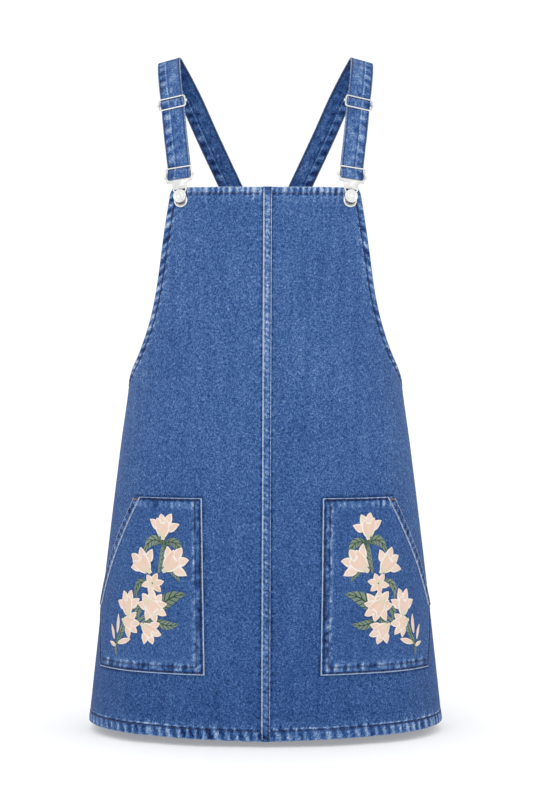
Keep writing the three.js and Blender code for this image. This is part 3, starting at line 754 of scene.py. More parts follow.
def satin(name, base, dark, edge, root, veins):
    """Satin stitch: fine parallel threads, with its outline, root and veins in other threads, and on
    petals a painted shadow line along each rim.
    """
    made = Material(name)
    uv = made.place("UV")
    grain = made.noise(uv, 9.0, 2.0, 0.6, 0.2, (2.5, 0.3))
    edges, way = made.attribute("edge"), made.attribute("way")
    colour = made.blend(made.math("MULTIPLY", grain, made.attribute("tone")), base, dark)
    colour = made.blend(made.step(way, 0.34, 0.02), colour, root)
    if veins:
        row = made.math("MULTIPLY_ADD", way, 5.5, made.math("MULTIPLY", edges, -1.1))
        side = made.math("ABSOLUTE", made.math("SUBTRACT", made.math("FRACT", row), 0.5))
        vein = made.math("MAXIMUM", made.step(side, 0.17, 0.07), made.step(edges, 0.16, 0.05))
        colour = made.blend(vein, colour, edge)
    else:
        rim = made.math("MAXIMUM", made.step(edges, 0.55, 0.75), made.step(way, 0.86, 0.94))
        colour = made.blend(rim, colour, edge)
        # Painted shadow: a thin darker line along the very rim of each petal, where petals overlap.
        colour = made.blend(made.step(edges, 0.93, 0.99), colour, shown(208, 172, 150))
    return made.finish(
        Base_Color=colour, Normal=made.bump(made.waves(uv, "X", 5.2, 1.2), 0.5, 0.0003),
        Roughness=0.5, Specular_IOR_Level=0.25)


def metal(name, tint, roughness):
    """Polished nickel with faint handling marks."""
    made = Material(name)
    marks = made.noise(made.place("Object"), 260, 4.0, 0.65, 0.5)
    dull = tuple(0.86 * c for c in tint[:3]) + (1.0,)
    spread = made.add("MapRange", {"Value": marks, "To Min": roughness, "To Max": roughness + 0.16})
    return made.finish(
        Base_Color=made.ramp(marks, [(0.25, dull), (0.7, tint)]), Roughness=spread.outputs[0],
        Metallic=0.72, Normal=made.bump(marks, 0.12, 0.0002))


DENIM = denim("denim", shade_to_hem=0.1)
DENIM_BAND = denim("denim_band", lift=0.02)
DENIM_POCKET = denim("denim_pocket", lift=-0.05, mottle=0.85)
DENIM_STRAP = denim("denim_strap", lift=0.08, mottle=0.95)
BROWN = thread("thread_brown", shown(104, 86, 78))
DARK = thread("thread_dark", shown(70, 58, 58))
PALE = thread("thread_pale", shown(180, 178, 180))
PETAL = satin("thread_petal", shown(250, 226, 210), shown(232, 180, 152), shown(254, 246, 238),
              shown(226, 224, 192), False)
LEAF = satin("thread_leaf", shown(150, 168, 152), shown(82, 106, 88), shown(46, 68, 56),
             shown(100, 122, 104), True)
RUST = thread("thread_rust", shown(150, 104, 78))
NICKEL = metal("nickel", (0.74, 0.74, 0.725, 1.0), 0.22)


# Stitches

STITCH_SIDES = 5


def sample(distance, walked, source):
    """A line's points, or its normals, at distances along it."""
    return np.stack([np.interp(distance, walked, column) for column in source.T], -1)


def stitches(name, lines, made, pitch=3.1, long=2.6, radius=0.36):
    """Separate stitches along lines of (points, normals), joined as one piece."""
    turn = circle(STITCH_SIDES)[:, None, None]
    beads = []
    for line, normals in lines:
        walked = walk(line)
        count = int(walked[-1] / pitch)
        middles = (np.arange(count) + 0.5) * walked[-1] / max(count, 1)
        start, end = (sample(middles + way * long / 2, walked, line) for way in (-1, 1))
        normal = unit(sample(middles, walked, normals))
        across = np.cross(normal, unit(end - start))
        ring = (start + end) / 2 + 0.16 * normal
        ring = ring + radius * (np.cos(turn) * across + 0.8 * np.sin(turn) * normal)
        bead = np.concatenate([
            [start - 0.12 * normal], ring - 0.28 * (end - start), ring + 0.28 * (end - start),
            [end - 0.12 * normal]])
        beads.append(bead.transpose(1, 0, 2)[np.linalg.norm(end - start, axis=1) >= long * 0.5])
    points = np.concatenate(beads)
    last = 1 + 2 * STITCH_SIDES
    pattern = []
    for k in range(STITCH_SIDES):
        a, b = 1 + k, 1 + (k + 1) % STITCH_SIDES
        pattern += [(0, b, a), (a, b, b + STITCH_SIDES, a + STITCH_SIDES),
                    (a + STITCH_SIDES, b + STITCH_SIDES, last)]
    faces = [tuple(base + i for i in face)
             for base in range(0, len(points) * (last + 1), last + 1) for face in pattern]
    points = points.reshape(-1, 3)
    finish_piece(mesh_object(name, points, face_out(points, faces)), made)


def body_line(side, along, z, out):
    """A line on the body and its normals, for stitches."""
    along = np.asarray(along, float)
    z = np.broadcast_to(np.asarray(z, float), along.shape)
    return side.at(along, z, out), side.normal(along, z)


def offset_line(line, distance):
    """A line moved sideways by a distance, to the inner side."""
    step = unit(np.gradient(line, axis=0))
    return line + np.stack([step[:, 1], -step[:, 0]], -1) * distance


# Build the body

HALVES = (("right", -1), ("left", 1))

for word, sign in HALVES:
    piece, area = build_panel(
        f"front_{word}", FRONT, lambda z, sign=sign: SEAM_GAP / 2 + sign * seam_at(z),
        FRONT_EDGE, BIB_TOP, 92, 2.7, sign, 150 + 50 * sign)

piece, area = build_panel("back", BACK, np.zeros_like, BACK_EDGE, BACK_TOP, 80, 3.1, 1, 300)


def centre_seam():
    """The felled seam down the front, worn along its edges and puckered between them."""
    half = FELL_WIDTH / 2
    rim = np.array([0, 0.3, 0.8])
    across = np.concatenate([rim, np.linspace(1.5, FELL_WIDTH - 1.5, 7), FELL_WIDTH - rim[::-1]]) - half
    A, Z = np.meshgrid(across, rows_between(BIB_TOP - 0.5, HEM + 0.2, 1.8))
    wave = ripple(Z + 0.5 * A + 2.5 * wobble(Z, 7, 22), 7.4)
    wave = 0.45 * wave + 0.6 * wobble2(Z, A, 8, 3.4)
    wave *= np.sqrt(np.clip(1 - (A / half) ** 2, 0, 1))
    wear_and_shade = 0.05 + 0.6 * wave + 0.3 * smoothstep(Z, -640, -260)
    wear_and_shade -= 0.55 * smoothstep(-Z, -HEM - 13, -HEM - 10)
    wear_and_shade -= 0.5 * smoothstep(Z, BIB_TOP - 12, BIB_TOP - 8)
    for place, width, amount in ((0.9 - half, 1.1, 0.85), (half - 0.3, 0.7, 0.65),
                                 (half - 1.9, 0.9, -0.5), (2.7 - half, 0.9, -0.3)):
        wear_and_shade += amount * hump(A - place, width)
    high = 0.25 * wave - rounding(half - np.abs(A), 0.9) + 0.5 * hump(A + half - 1.1, 0.8)
    outer = FRONT.at(A + seam_at(Z), Z, SEAM_GAP + FELL_THICK + high)
    inner = FRONT.at(A + seam_at(Z), Z, SEAM_GAP * 0.6)
    piece = shell("cloth_centre_seam", outer, inner, np.stack([A, Z], -1) / 10, wear_and_shade)
    finish_piece(piece, DENIM_BAND, ["centre_front_seam"])


centre_seam()


# Pockets

def mouth_lift(word, far, z):
    """How far the pocket's mouth stands off the panel."""
    share = np.clip((POCKET_TOP - z) / (POCKET_TOP - SLANT_END), 0, 1)
    reach = pocket_reach(word, z)
    near = smoothstep(far, reach - 45, reach)
    return MOUTH_LIFT * np.sin(math.pi * share) * near


def pocket_places(word, columns=68):
    """Places over a pocket, closer together along its edges."""
    edge = np.zeros(len(EDGE_INSETS))
    z = np.concatenate([POCKET_TOP - EDGE_INSETS,
                        rows_between(POCKET_TOP - 2.6, POCKET_BOTTOM + 2.6, 1.9),
                        POCKET_BOTTOM + EDGE_INSETS[::-1]])
    share = np.concatenate([edge, np.linspace(0, 1, columns), edge + 1])
    inset = np.concatenate([EDGE_INSETS, np.full(columns, 2.6), -EDGE_INSETS[::-1]])
    share, z = np.meshgrid(share, z)
    low = pocket_inner(word, z) + np.maximum(inset, 0)
    high = pocket_reach(word, z) + np.minimum(inset, 0) - 2.6 * (inset > 2.5)
    return low + (high - low) * share, z


def pocket_edges(word, far, z, seed):
    """Relief, and wear with painted shade along the stitching, along a pocket's edges, with the blocks
    that its turned hem presses out.
    """
    edges = Edges(far.shape, 7, 16)
    slant = np.stack([POCKET_OUTER[word], [POCKET_TOP, SLANT_END, POCKET_BOTTOM]], -1)
    outer_gap, outer_down = curve_distance(far, z, slant)
    for gap, place, width, number, look, period in (
            (POCKET_TOP - z, far, 2.2, seed, "pocket_top", 9.0),
            (z - POCKET_BOTTOM, far, 9.5, seed + 4, "pocket", 9.4),
            (far - pocket_inner(word, z), z, 9.5, seed + 8, "pocket", 9.4),
            (outer_gap, outer_down, 2.2, seed + 12, "pocket_side", 9.0)):
        relief, wear_and_shade = puckers(gap, place, width, number, look)
        drift = place + 2.2 * wobble(place, number + 1, 19)
        blocks = 0.5 + 0.5 * ripple(drift, period)
        if look == "pocket":
            patchy = wobble2(place, gap * 1.3, number + 3, 4.4)
            ridge = hump(gap - 10.5, 3.0) * (0.6 + 0.6 * wobble2(place, gap, number + 2, 4))
            if place is far:
                patchy = wobble2(place, gap / 3, number + 3, 3.4)
                ridge = hump(gap - 9, 5.5) * (0.8 * blocks + 0.3 * patchy)
            soft = smoothstep(gap, 2.5, 4.5) * (1 - smoothstep(gap, 11, 16))
            line = hump(gap - 2.6, 0.8)
            # The sunk stitching line is darkened as painted shade.
            relief = relief - 0.2 * line + 0.3 * ridge
            wear_and_shade = wear_and_shade - 0.85 * line + 0.65 * ridge + (0.6 * patchy + 0.08) * soft
        if look == "pocket_top":
            uneven = 0.95 + 0.35 * wobble(place, number + 6, 11)
            patchy = wobble2(place, gap / 3, number + 2, 3.0)
            under = hump(np.maximum(np.abs(gap - 8.5) - 2.2 * uneven, 0), 3.6)
            relief = relief + under * (0.4 * blocks + 0.1)
            wear_and_shade = wear_and_shade + under * (0.62 * uneven * blocks + 0.45 * patchy - 0.08)
            wear_and_shade = wear_and_shade - 0.5 * hump(gap - 3.6, 1.0)
        edges.take(gap, width, relief, wear_and_shade)
    return edges


def mouth_band(word, sign, seed):
    """The band along a pocket's slanted mouth, with a chain of worn rings down it."""
    z = np.concatenate([POCKET_TOP - EDGE_INSETS, rows_between(POCKET_TOP - 2.6, SLANT_END, 1.8)])
    inset, z = np.meshgrid(MOUTH_INSETS, z)
    far = pocket_reach(word, z) - inset
    wave = ripple(z + 0.6 * inset + 2.5 * wobble(z, seed + 20, 20), 8.5)
    wave = 0.6 * wave + 0.6 * wobble2(z, inset, seed + 21, 3.6)
    middle = np.sqrt(np.clip(1 - (2 * inset / MOUTH_WIDTH - 1) ** 2, 0, 1))
    edge = np.minimum(inset, MOUTH_WIDTH - inset)
    chain = np.sin(math.pi * (z + 2 * wobble(z, seed + 22, 17)) / 8.5) * 2.6
    ring = hump(np.abs(np.abs(inset - MOUTH_WIDTH / 2) - np.abs(chain)) - 0.4, 0.9)
    wear_and_shade = 0.05 + (0.7 * wave - 0.55 * ring) * middle + 1.1 * hump(edge, 1.1) - 0.3 * hump(edge - 1.5, 0.7)
    out = LAID_GAP + SEAM_GAP + POCKET_THICK + mouth_lift(word, far, z)
    fall = rounding(np.minimum(edge, POCKET_TOP - z), 0.8)
    outer = FRONT.at(sign * far, z, out + MOUTH_THICK + 0.24 * wave * middle - fall)
    inner = FRONT.at(sign * far, z, out)
    band = shell(f"cloth_mouth_{word}", outer, inner, np.stack([inset, z], -1) / 10, wear_and_shade)
    finish_piece(band, DENIM_BAND, [f"pocket_mouth_{word}"])


def pocket(word, sign, seed):
    """A pocket with its mouth band and its embroidery."""
    far, z = pocket_places(word)
    edges = pocket_edges(word, far, z, seed)
    lift = LAID_GAP + mouth_lift(word, far, z)
    bare = smoothstep(pocket_reach(word, z) - far, MOUTH_WIDTH - 2, MOUTH_WIDTH + 2)
    relief = np.where(z > SLANT_END, edges.relief * bare, edges.relief)
    high = lift + POCKET_THICK + relief - rounding(edges.nearest, 1.1)
    outer, inner = FRONT.at(sign * far, z, high), FRONT.at(sign * far, z, lift - 0.1)
    uv = np.stack([sign * far + 37, z + 11], -1) / 10
    cloth = shell(f"cloth_pocket_{word}", outer, inner, uv, edges.wear_and_shade)
    finish_piece(cloth, DENIM_POCKET, [f"pocket_{word}"])
    area = grid_area(FRONT.bare(sign * far, z)) * MM * MM
    mouth_band(word, sign, seed)
    sewn = embroider(word, sign, seed + 50)


# Embroidery: satin stitched patches, laid out as a spray of bell flowers. Places are in
# millimetres on the right pocket, along the cloth from the centre line and up; the left pocket
# has them mirrored.

class Patches:
    """Puffed patches of satin stitch, gathered into one piece."""

    def __init__(self, word, sign, rng):
        self.word = word
        self.sign = sign
        self.rng = rng
        self.points = []
        self.faces = []
        self.uv = []
        self.values = {"edge": [], "way": [], "tone": []}

    def add(self, centre, half, level, tone, puff=0.55, columns=9):
        """A patch along a centre line of (along, z), with a half width at each of its rows."""
        tangent = unit(np.gradient(centre, axis=0))
        normal = np.stack([tangent[:, 1], -tangent[:, 0]], -1)
        s = np.sin(np.linspace(-math.pi / 2, math.pi / 2, columns))
        along, z = np.moveaxis(centre[:, None] + normal[:, None] * (half[:, None] * s)[..., None], -1, 0)
        ground = LAID_GAP + POCKET_THICK + mouth_lift(self.word, np.abs(along), z)
        swell = puff * np.sqrt(1 - s ** 2) * np.minimum(1, half / 2.2)[:, None]
        points, faces = wall(FRONT.at(along * -self.sign, z, ground + 0.25 + level + swell),
                             FRONT.at(along * -self.sign, z, ground - 0.3))
        start = sum(map(len, self.points))
        self.faces += [tuple(start + i for i in face) for face in faces]
        self.points.append(points)
        s, way = np.meshgrid(s, np.linspace(0, 1, len(centre)))
        uv = np.stack([s * half[:, None], walk(centre)[:, None] + 0 * s], -1).reshape(-1, 2) / 10
        self.uv += [uv, uv]
        for key, value in (("edge", np.abs(s)), ("way", way), ("tone", tone + 0 * s)):
            self.values[key] += [value.ravel(), value.ravel()]

    def piece(self, name, made):
        values = {key: np.concatenate(value) for key, value in self.values.items()}
        piece = mesh_object(name, np.concatenate(self.points), self.faces, np.concatenate(self.uv), values)
        return finish_piece(piece, made)


def bend(a, b, c, rows=15):
    """Points along a curve from a to c that leans towards b."""
    t = np.linspace(0, 1, rows)[:, None]
    return (1 - t) ** 2 * np.asarray(a) + 2 * t * (1 - t) * np.asarray(b) + t * t * np.asarray(c)


def petal_width(wide, root, rows=15):
    t = np.linspace(0, 1, rows)
    return wide * np.maximum(np.sin(math.pi * (root + (1 - root) * t)), 0.02) ** 0.8


# Petals of a bell flower seen from the side: where the tip is, across and up, its width and level
BELL = [
    (-0.20, 0.99, 0.17, 0.00), (0.26, 0.95, 0.165, 0.05), (-0.56, 0.68, 0.16, 0.10),
    (0.58, 0.62, 0.16, 0.10), (-0.27, 0.77, 0.17, 0.34), (0.15, 0.73, 0.18, 0.46),
]


def bell(patches, base, degrees, size, level):
    """A bell flower opening from its base towards an angle from upwards, clockwise."""
    turn = math.radians(degrees)
    rng = patches.rng

    def put(points):
        x, z = np.moveaxis(points * size, -1, 0)
        return np.stack([base[0] + x * math.cos(turn) + z * math.sin(turn),
                         base[1] - x * math.sin(turn) + z * math.cos(turn)], -1)

    def petals(rows, sway, root, near, bent, foot, tones):
        for across, up, wide, high in rows:
            across += rng.uniform(-sway, sway)
            up += rng.uniform(-sway, sway)
            line = bend((across * near, root), (across * bent[0], up * bent[1]), (across, up))
            patches.add(put(line), petal_width(wide * size, foot), level + high, rng.uniform(*tones))

    petals(BELL[:4], 0.05, 0.36, 0.3, (0.5, 0.8), 0.16, (0.2, 0.6))
    widths = size * (0.06 + 0.25 * np.linspace(0, 1, 15) ** 1.25)
    patches.add(put(bend((0, 0), (0.03, 0.3), (0, 0.66))), widths, level + 0.2, 0.5, 0.8)
    petals(BELL[4:], 0.04, 0.12, 0.25, (0.55, 0.66), 0.1, (0.4, 1))


def open_flower(patches, centre, size, turn, level):
    """A flower seen from the front, with six petals about its throat."""
    rng = patches.rng
    for k in range(6):
        angle = math.radians(turn + 60 * k + rng.uniform(-8, 8))
        far = size * rng.uniform(0.86, 1.06)
        way = np.array([math.sin(angle), math.cos(angle) * 0.86])
        side = np.array([way[1], -way[0]])
        start, end = centre + way * size * 0.06, centre + way * far
        lean = (start + end) / 2 + side * size * rng.uniform(-0.1, 0.1)
        patches.add(bend(start, lean, end), petal_width(size * 0.27, 0.12), level + 0.12 * (k % 2),
                    rng.uniform(0.2, 1))


# Bell flowers: base, the way it opens in degrees, size, and level above the cloth
BELLS = [
    (-131, -617, 4, 34, 0.2), (-147, -659, -42, 37, 0.2), (-131, -656, 52, 39, 0.25),
    (-180, -716, -8, 36, 0.2), (-139, -712, -24, 35, 0.45), (-153, -690, 138, 33, 0.8),
    (-192, -718, 108, 30, 0.3), (-160, -721, 128, 31, 0.3),
]
# Open flowers: centre, size, turn in degrees and level
OPEN_FLOWERS = [(-144, -671, 16, 20, 0.55)]
# Buds: base, the way it points in degrees, length and half width
BUDS = [(-202, -736, 3, 24, 3.1), (-208, -744, -24, 20, 2.6), (-200, -748, 74, 25, 3.6),
        (-204, -752, -72, 15, 2.6)]
# Leaves: their two ends, the point that they lean towards and half their width
LEAVES = [
    ((-131, -621), (-148, -609), (-158, -636), 6.4), ((-127, -621), (-110, -613), (-104, -638), 6.0),
    ((-128, -622), (-124, -640), (-136, -655), 5.2), ((-122, -654), (-112, -656), (-107, -669), 4.0),
    ((-148, -672), (-172, -664), (-168, -694), 5.0), ((-136, -704), (-124, -684), (-98, -683), 8.6),
    ((-140, -716), (-124, -726), (-108, -719), 5.8), ((-158, -700), (-170, -706), (-164, -716), 5.0),
    ((-146, -712), (-152, -722), (-164, -722), 4.6), ((-196, -738), (-190, -728), (-186, -716), 4.2),
    ((-203, -750), (-206, -757), (-202, -764), 2.2), ((-203, -749), (-196, -740), (-192, -732), 3.6),
]
# Stems: as the leaves
STEMS = [
    ((-129, -618), (-135, -634), (-136, -658), 1.5), ((-142, -690), (-150, -712), (-166, -718), 1.7),
    ((-166, -718), (-186, -722), (-203, -750), 1.6), ((-178, -714), (-176, -720), (-180, -726), 1.6),
]


def embroider(word, sign, seed):
    """The spray on one pocket: its leaves and its flowers."""
    rng = np.random.default_rng(seed)
    greens, petals = Patches(word, sign, rng), Patches(word, sign, rng)
    for a, b, c, wide in STEMS:
        greens.add(bend(a, b, c), np.full(15, wide), 0.0, 0.1, 0.5)
    for a, b, c, wide in LEAVES:
        t = np.linspace(0, 1, 22)
        half = wide * np.maximum(np.sin(math.pi * (0.03 + 0.97 * t) ** 0.8), 0.02) ** 0.85
        half *= 1 + 0.07 * np.sin(2 * math.pi * 5 * t)
        greens.add(bend(a, b, c, 22), half, 0.05, rng.uniform(0.3, 1), 0.5, 11)
    for x, z, degrees, size, level in BELLS:
        bell(petals, (x, z), degrees, size, level)
    for x, z, size, turn, level in OPEN_FLOWERS:
        open_flower(petals, np.array([x, z]), size, turn, level)
    for x, z, degrees, size, wide in BUDS:
        turn = math.radians(degrees)
        tip = (x + size * math.sin(turn), z + size * math.cos(turn))
        lean = ((x + tip[0]) / 2 + 1.5, (z + tip[1]) / 2)
        petals.add(bend((x, z), lean, tip), petal_width(wide, 0.06), 0.2, 0.6)
    return [greens.piece(f"embroidery_leaves_{word}", LEAF),
            petals.piece(f"embroidery_flowers_{word}", PETAL)]


for word, sign in HALVES:
    pocket(word, sign, 550 + 50 * sign)


# Straps

class StrapLine:
    """The line of a strap by distance, as the solids have it: a centripetal curve."""

    def __init__(self):
        t = np.linspace(0, 1, 2401)
        points = self.point(t)
        self.t = t
        self.walked = walk(points)
        self.length = self.walked[-1]
        key = np.linspace(0, 1, len(STRAP_LINE))
        self.yaw = hermite(key, np.radians(STRAP_LINE[:, 3]))
        self.roll = hermite(key, np.radians(STRAP_LINE[:, 4]))

    def point(self, t):
        p = STRAP_LINE[:, :3]
        p = np.concatenate([[2 * p[0] - p[1]], p, [2 * p[-1] - p[-2]]])
        i = np.minimum((t * (len(STRAP_LINE) - 1)).astype(int), len(STRAP_LINE) - 2)
        w = (t * (len(STRAP_LINE) - 1) - i)[:, None]
        p0, p1, p2, p3 = p[i], p[i + 1], p[i + 2], p[i + 3]
        d0, d1, d2 = (np.sqrt(np.linalg.norm(b - a, axis=1, keepdims=True))
                      for a, b in ((p0, p1), (p1, p2), (p2, p3)))
        m1 = ((p1 - p0) / d0 - (p2 - p0) / (d0 + d1) + (p2 - p1) / d1) * d1
        m2 = ((p2 - p1) / d1 - (p3 - p1) / (d1 + d2) + (p3 - p2) / d2) * d1
        c2 = -3 * p1 + 3 * p2 - 2 * m1 - m2
        c3 = 2 * p1 - 2 * p2 + m1 + m2
        return p1 + m1 * w + c2 * w ** 2 + c3 * w ** 3

    def frame(self, distance):
        t = np.interp(distance, self.walked, self.t)
        at = self.point(t)
        upwards = unit(self.point(np.minimum(t + 1e-4, 1)) - self.point(np.maximum(t - 1e-4, 0)))
        yaw, roll = self.yaw(t), self.roll(t)
        across = np.stack([np.cos(yaw) * np.cos(roll), np.sin(yaw) * np.cos(roll), -np.sin(roll)], -1)
        across = unit(across - upwards * (across * upwards).sum(1, keepdims=True))
        return at, upwards, across, np.cross(across, upwards)


STRAP = StrapLine()
ROUND = WIRE + SEAM_GAP + STRAP_THICK / 2
LINING = STRAP_THICK + 0.4
# The way of the strap: up its line, out of it, and the radius of its turn there, signed by side
WAY = [
    (SLIDER_AT - 1, -ROUND - 0.4, 0),
    (SLIDER_AT - SLIDER_HIGH, -ROUND - LINING, 0),
    (SLIDER_AT - 20, -1.4 - LINING, 0),
    (HOOK_TOP + 16, -1.4 - LINING, 0),
    (HOOK_TOP, -ROUND - LINING, 0),
    (HOOK_MIDDLE, 0, ROUND),
    (HOOK_TOP, 0, -ROUND),
    (HOOK_TOP + 14, -1.4, 0),
    (SLIDER_AT - 20, -1.4, 0),
    (SLIDER_AT - SLIDER_HIGH, 0, -ROUND),
    (SLIDER_AT, 0, ROUND),
    (SLIDER_AT + SLIDER_HIGH, 0, -ROUND),
    (SLIDER_AT + 22, 0, 0),
    (STRAP.length, 0, 0),
]


def strap_stations(step=1.9, turn_step=0.16):
    """Places up the strap's line, out of it, and the heading there."""
    def heading(a, b):
        far = math.hypot(b[0] - a[0], b[1] - a[1])
        return math.atan2(b[1] - a[1], b[0] - a[0]) + math.asin((b[2] - a[2]) / far)

    def beside(stop, angle):
        return stop[0] - math.sin(angle) * stop[2], stop[1] + math.cos(angle) * stop[2], angle

    headings = [heading(a, b) for a, b in zip(WAY, WAY[1:])]
    stations = [beside(WAY[0], headings[0])]
    for i in range(1, len(WAY)):
        start, end = stations[-1], beside(WAY[i], headings[i - 1])
        count = max(1, math.ceil(math.hypot(end[0] - start[0], end[1] - start[1]) / step))
        for k in range(1, count + 1):
            t = k / count
            stations.append((start[0] + (end[0] - start[0]) * t,
                             start[1] + (end[1] - start[1]) * t, headings[i - 1]))
        if i == len(WAY) - 1:
            break
        turn = headings[i] - headings[i - 1]
        turn -= 2 * math.pi * round(turn / (2 * math.pi))
        if turn * WAY[i][2] > 0 and abs(turn) > 1:
            turn -= math.copysign(2 * math.pi, turn)
        if WAY[i][2]:
            arcs = max(1, math.ceil(abs(turn) / turn_step))
            stations += [beside(WAY[i], headings[i - 1] + turn * k / arcs) for k in range(1, arcs + 1)]
        else:
            up, out, angle = stations[-1]
            stations[-1] = (up, out, angle + turn / 2)
    table = np.array(stations)
    table[:, 2] = np.unwrap(table[:, 2])
    soft = np.ones(5) / 5
    padded = np.pad(table, ((2, 2), (0, 0)), mode="edge")
    blurred = np.stack([np.convolve(padded[:, k], soft, "valid") for k in range(3)], -1)
    free = smoothstep(np.minimum(np.abs(table[:, 0] - 30), np.abs(table[:, 0] - SLIDER_AT)), 9, 14)
    return table + (blurred - table) * free[:, None]


def strap(word, sign, seed):
    """One strap with its ridges, wear and painted shade. Gives back the lines of its stitches."""
    stations = strap_stations()
    at, upwards, across, out = STRAP.frame(stations[:, 0])
    middle = at + out * stations[:, 1:2]
    face = -np.sin(stations[:, 2:]) * upwards + np.cos(stations[:, 2:]) * out
    walked = walk(middle)
    half, thin = STRAP_WIDTH / 2, STRAP_THICK / 2
    free = smoothstep(np.minimum(np.abs(stations[:, 0] - 29), np.abs(stations[:, 0] - SLIDER_AT)), 9, 16)
    corner = 1.1
    flat = np.linspace(-half + corner, half - corner, 29)
    turn = np.radians([35, 65, 90, 115, 145])
    beside = half - corner + corner * np.sin(turn)
    ones, zeros = np.ones(len(flat)), np.zeros(len(turn))
    ring_across = np.concatenate([flat, beside, flat[::-1], -beside])
    ring_high = thin * np.concatenate([ones, np.cos(turn), -ones, -np.cos(turn)])
    face_of = np.concatenate([ones, zeros, -ones, zeros])
    count = len(ring_across)
    A = np.broadcast_to(ring_across, (len(stations), count))
    W = np.broadcast_to(walked[:, None], A.shape)
    ridge = hump(A - 4.2, 1.0)
    outside = smoothstep(A, 4.4, 6.2) * (1 - smoothstep(A, 12.2, 13.4))
    inside = (1 - smoothstep(A, -1.5, 3.4)) * smoothstep(A, -11.6, -10.0)
    drift = W + 0.35 * A + 3.5 * wobble(W, seed, 24) + 4.1 * (face_of < 0)
    wave = 0.5 + 0.5 * ripple(drift, 14.5)
    wave = 0.5 * (1.8 * wave ** 0.9 - 1.15) + 0.5 * wobble2(drift, A, seed + 1, 7)
    soft = wobble2(drift, A, seed + 2, 6)
    groove = hump(np.abs(A) - 13, 0.8)
    near_ridge = hump(A - 2.6, 1.0)
    relief = 0.5 * ridge + 0.34 * wave * outside + 0.16 * soft * inside - 0.3 * groove
    relief = relief * face_of * free[:, None]
    wear_and_shade = 0.7 * ridge * (0.75 + 0.5 * wave) + 0.75 * wave * outside + 0.3 * soft * inside
    wear_and_shade += 0.3 * wave * (1 - smoothstep(A, 0, 4)) * smoothstep(A, -6, -1) - 0.35 * near_ridge
    # The grooves at the stitching lines are darkened as painted shade.
    wear_and_shade += 0.5 * hump(np.abs(A) - half, 1.2) - 0.75 * groove
    # Painted shade: the strap's inner face is darker all over, and darker still near the shoulder's top,
    # where the front strap shades it.
    shade_near_top = smoothstep(stations[:, :1], 175, 225) * (1 - smoothstep(stations[:, :1], 245, 330))
    wear_and_shade = np.where(face_of > 0, wear_and_shade + 0.04, wear_and_shade * 1.15 - 0.24 - 0.4 * shade_near_top)
    wear_and_shade = np.where(face_of == 0, 0.45 + 0.2 * soft, wear_and_shade)
    high = np.broadcast_to(ring_high, A.shape) + relief
    points = middle[:, None] + across[:, None] * A[..., None] + face[:, None] * high[..., None]
    points = mirrored(points, sign).reshape(-1, 3)
    uv = np.stack([A + 40 * face_of, W], -1).reshape(-1, 2) / 10
    piece = mesh_object(f"cloth_strap_{word}", points, face_out(points, tube_faces(len(stations), count)),
                        uv, {"wear_and_shade": wear_and_shade, "inside": np.zeros(len(points))})
    finish_piece(piece, DENIM_STRAP, [f"strap_{word}"])
    lines = []
    for place, way in ((-13, 1), (13, 1), (-13, -1), (13, -1)):
        keep = walked > (3 if way > 0 else 330)
        line = (middle + across * place + way * face * (thin - 0.12))[keep]
        lines.append((mirrored(line, sign), mirrored(way * face[keep], sign)))
    return lines


strap_lines = []
for word, sign in HALVES:
    strap_lines += strap(word, sign, 710 + 10 * sign)


# Hooks, sliders and buttons, in their own axes: X across the strap, Y up it, Z out of its face

def sweep(path, sides=14):
    """A round wire along a closed path of points."""
    path = np.asarray(path, float)
    tangent = unit(np.roll(path, -1, 0) - np.roll(path, 1, 0))
    side = unit(np.cross(tangent, np.array([0, 0, 1.0])))
    up = np.cross(side, tangent)
    turn = circle(sides)[:, None]
    ring = side[:, None] * np.cos(turn) + up[:, None] * np.sin(turn)
    return (path[:, None] + WIRE * ring).reshape(-1, 3), tube_faces(len(path), sides, closed=True)


def lathe(profile, sides=40, shift=0.0, closed=False):
    """A turned form from (radius, height) rows, closed at the axis or round as a ring."""
    points = [(radius * math.cos(a), radius * math.sin(a) + shift, height)
              for radius, height in profile for a in circle(sides)]
    return np.array(points), tube_faces(len(profile), sides, closed)


def rounded_rectangle(half, bottom, top, corner, steps=7):
    path = []
    for x, y, start in ((half - corner, top - corner, 0), (-half + corner, top - corner, 90),
                        (-half + corner, bottom + corner, 180), (half - corner, bottom + corner, 270)):
        for degrees in np.linspace(start, start + 90, steps):
            a = math.radians(degrees)
            path.append((x + corner * math.cos(a), y + corner * math.sin(a), 0))
    path = np.array(path)
    dense = []
    for a, b in zip(path, np.roll(path, -1, 0)):
        count = max(1, int(math.dist(a, b) / 3))
        dense += [a + (b - a) * k / count for k in range(count)]
    return dense


def knobbed_bar(half, y):
    """A bar across the strap with a knob on each end."""
    end = half + 2.7
    knob = [(0.02, 0), (1.25, 0.05), (1.75, 0.5), (1.9, 1.1), (1.85, 1.8), (1.45, 2.2), (1.05, 2.5)]
    profile = [(r, inset - end) for r, inset in knob] + [(r, end - inset) for r, inset in knob[::-1]]
    points, faces = lathe(profile, 20)
    return points[:, [2, 0, 1]] + np.array([0, y, 0]), faces


def catmull(points):
    """A smooth closed path through points, with eight steps from each to the next."""
    points = np.asarray(points, float)
    path = []
    for i in range(len(points)):
        p0, p1, p2, p3 = (points[(i + k) % len(points)] for k in (-1, 0, 1, 2))
        for t in np.linspace(0, 1, 8, endpoint=False):
            path.append(0.5 * (2 * p1 + (p2 - p0) * t + (2 * p0 - 5 * p1 + 4 * p2 - p3) * t ** 2
                               + (3 * p1 - p0 - 3 * p2 + p3) * t ** 3))
    return path


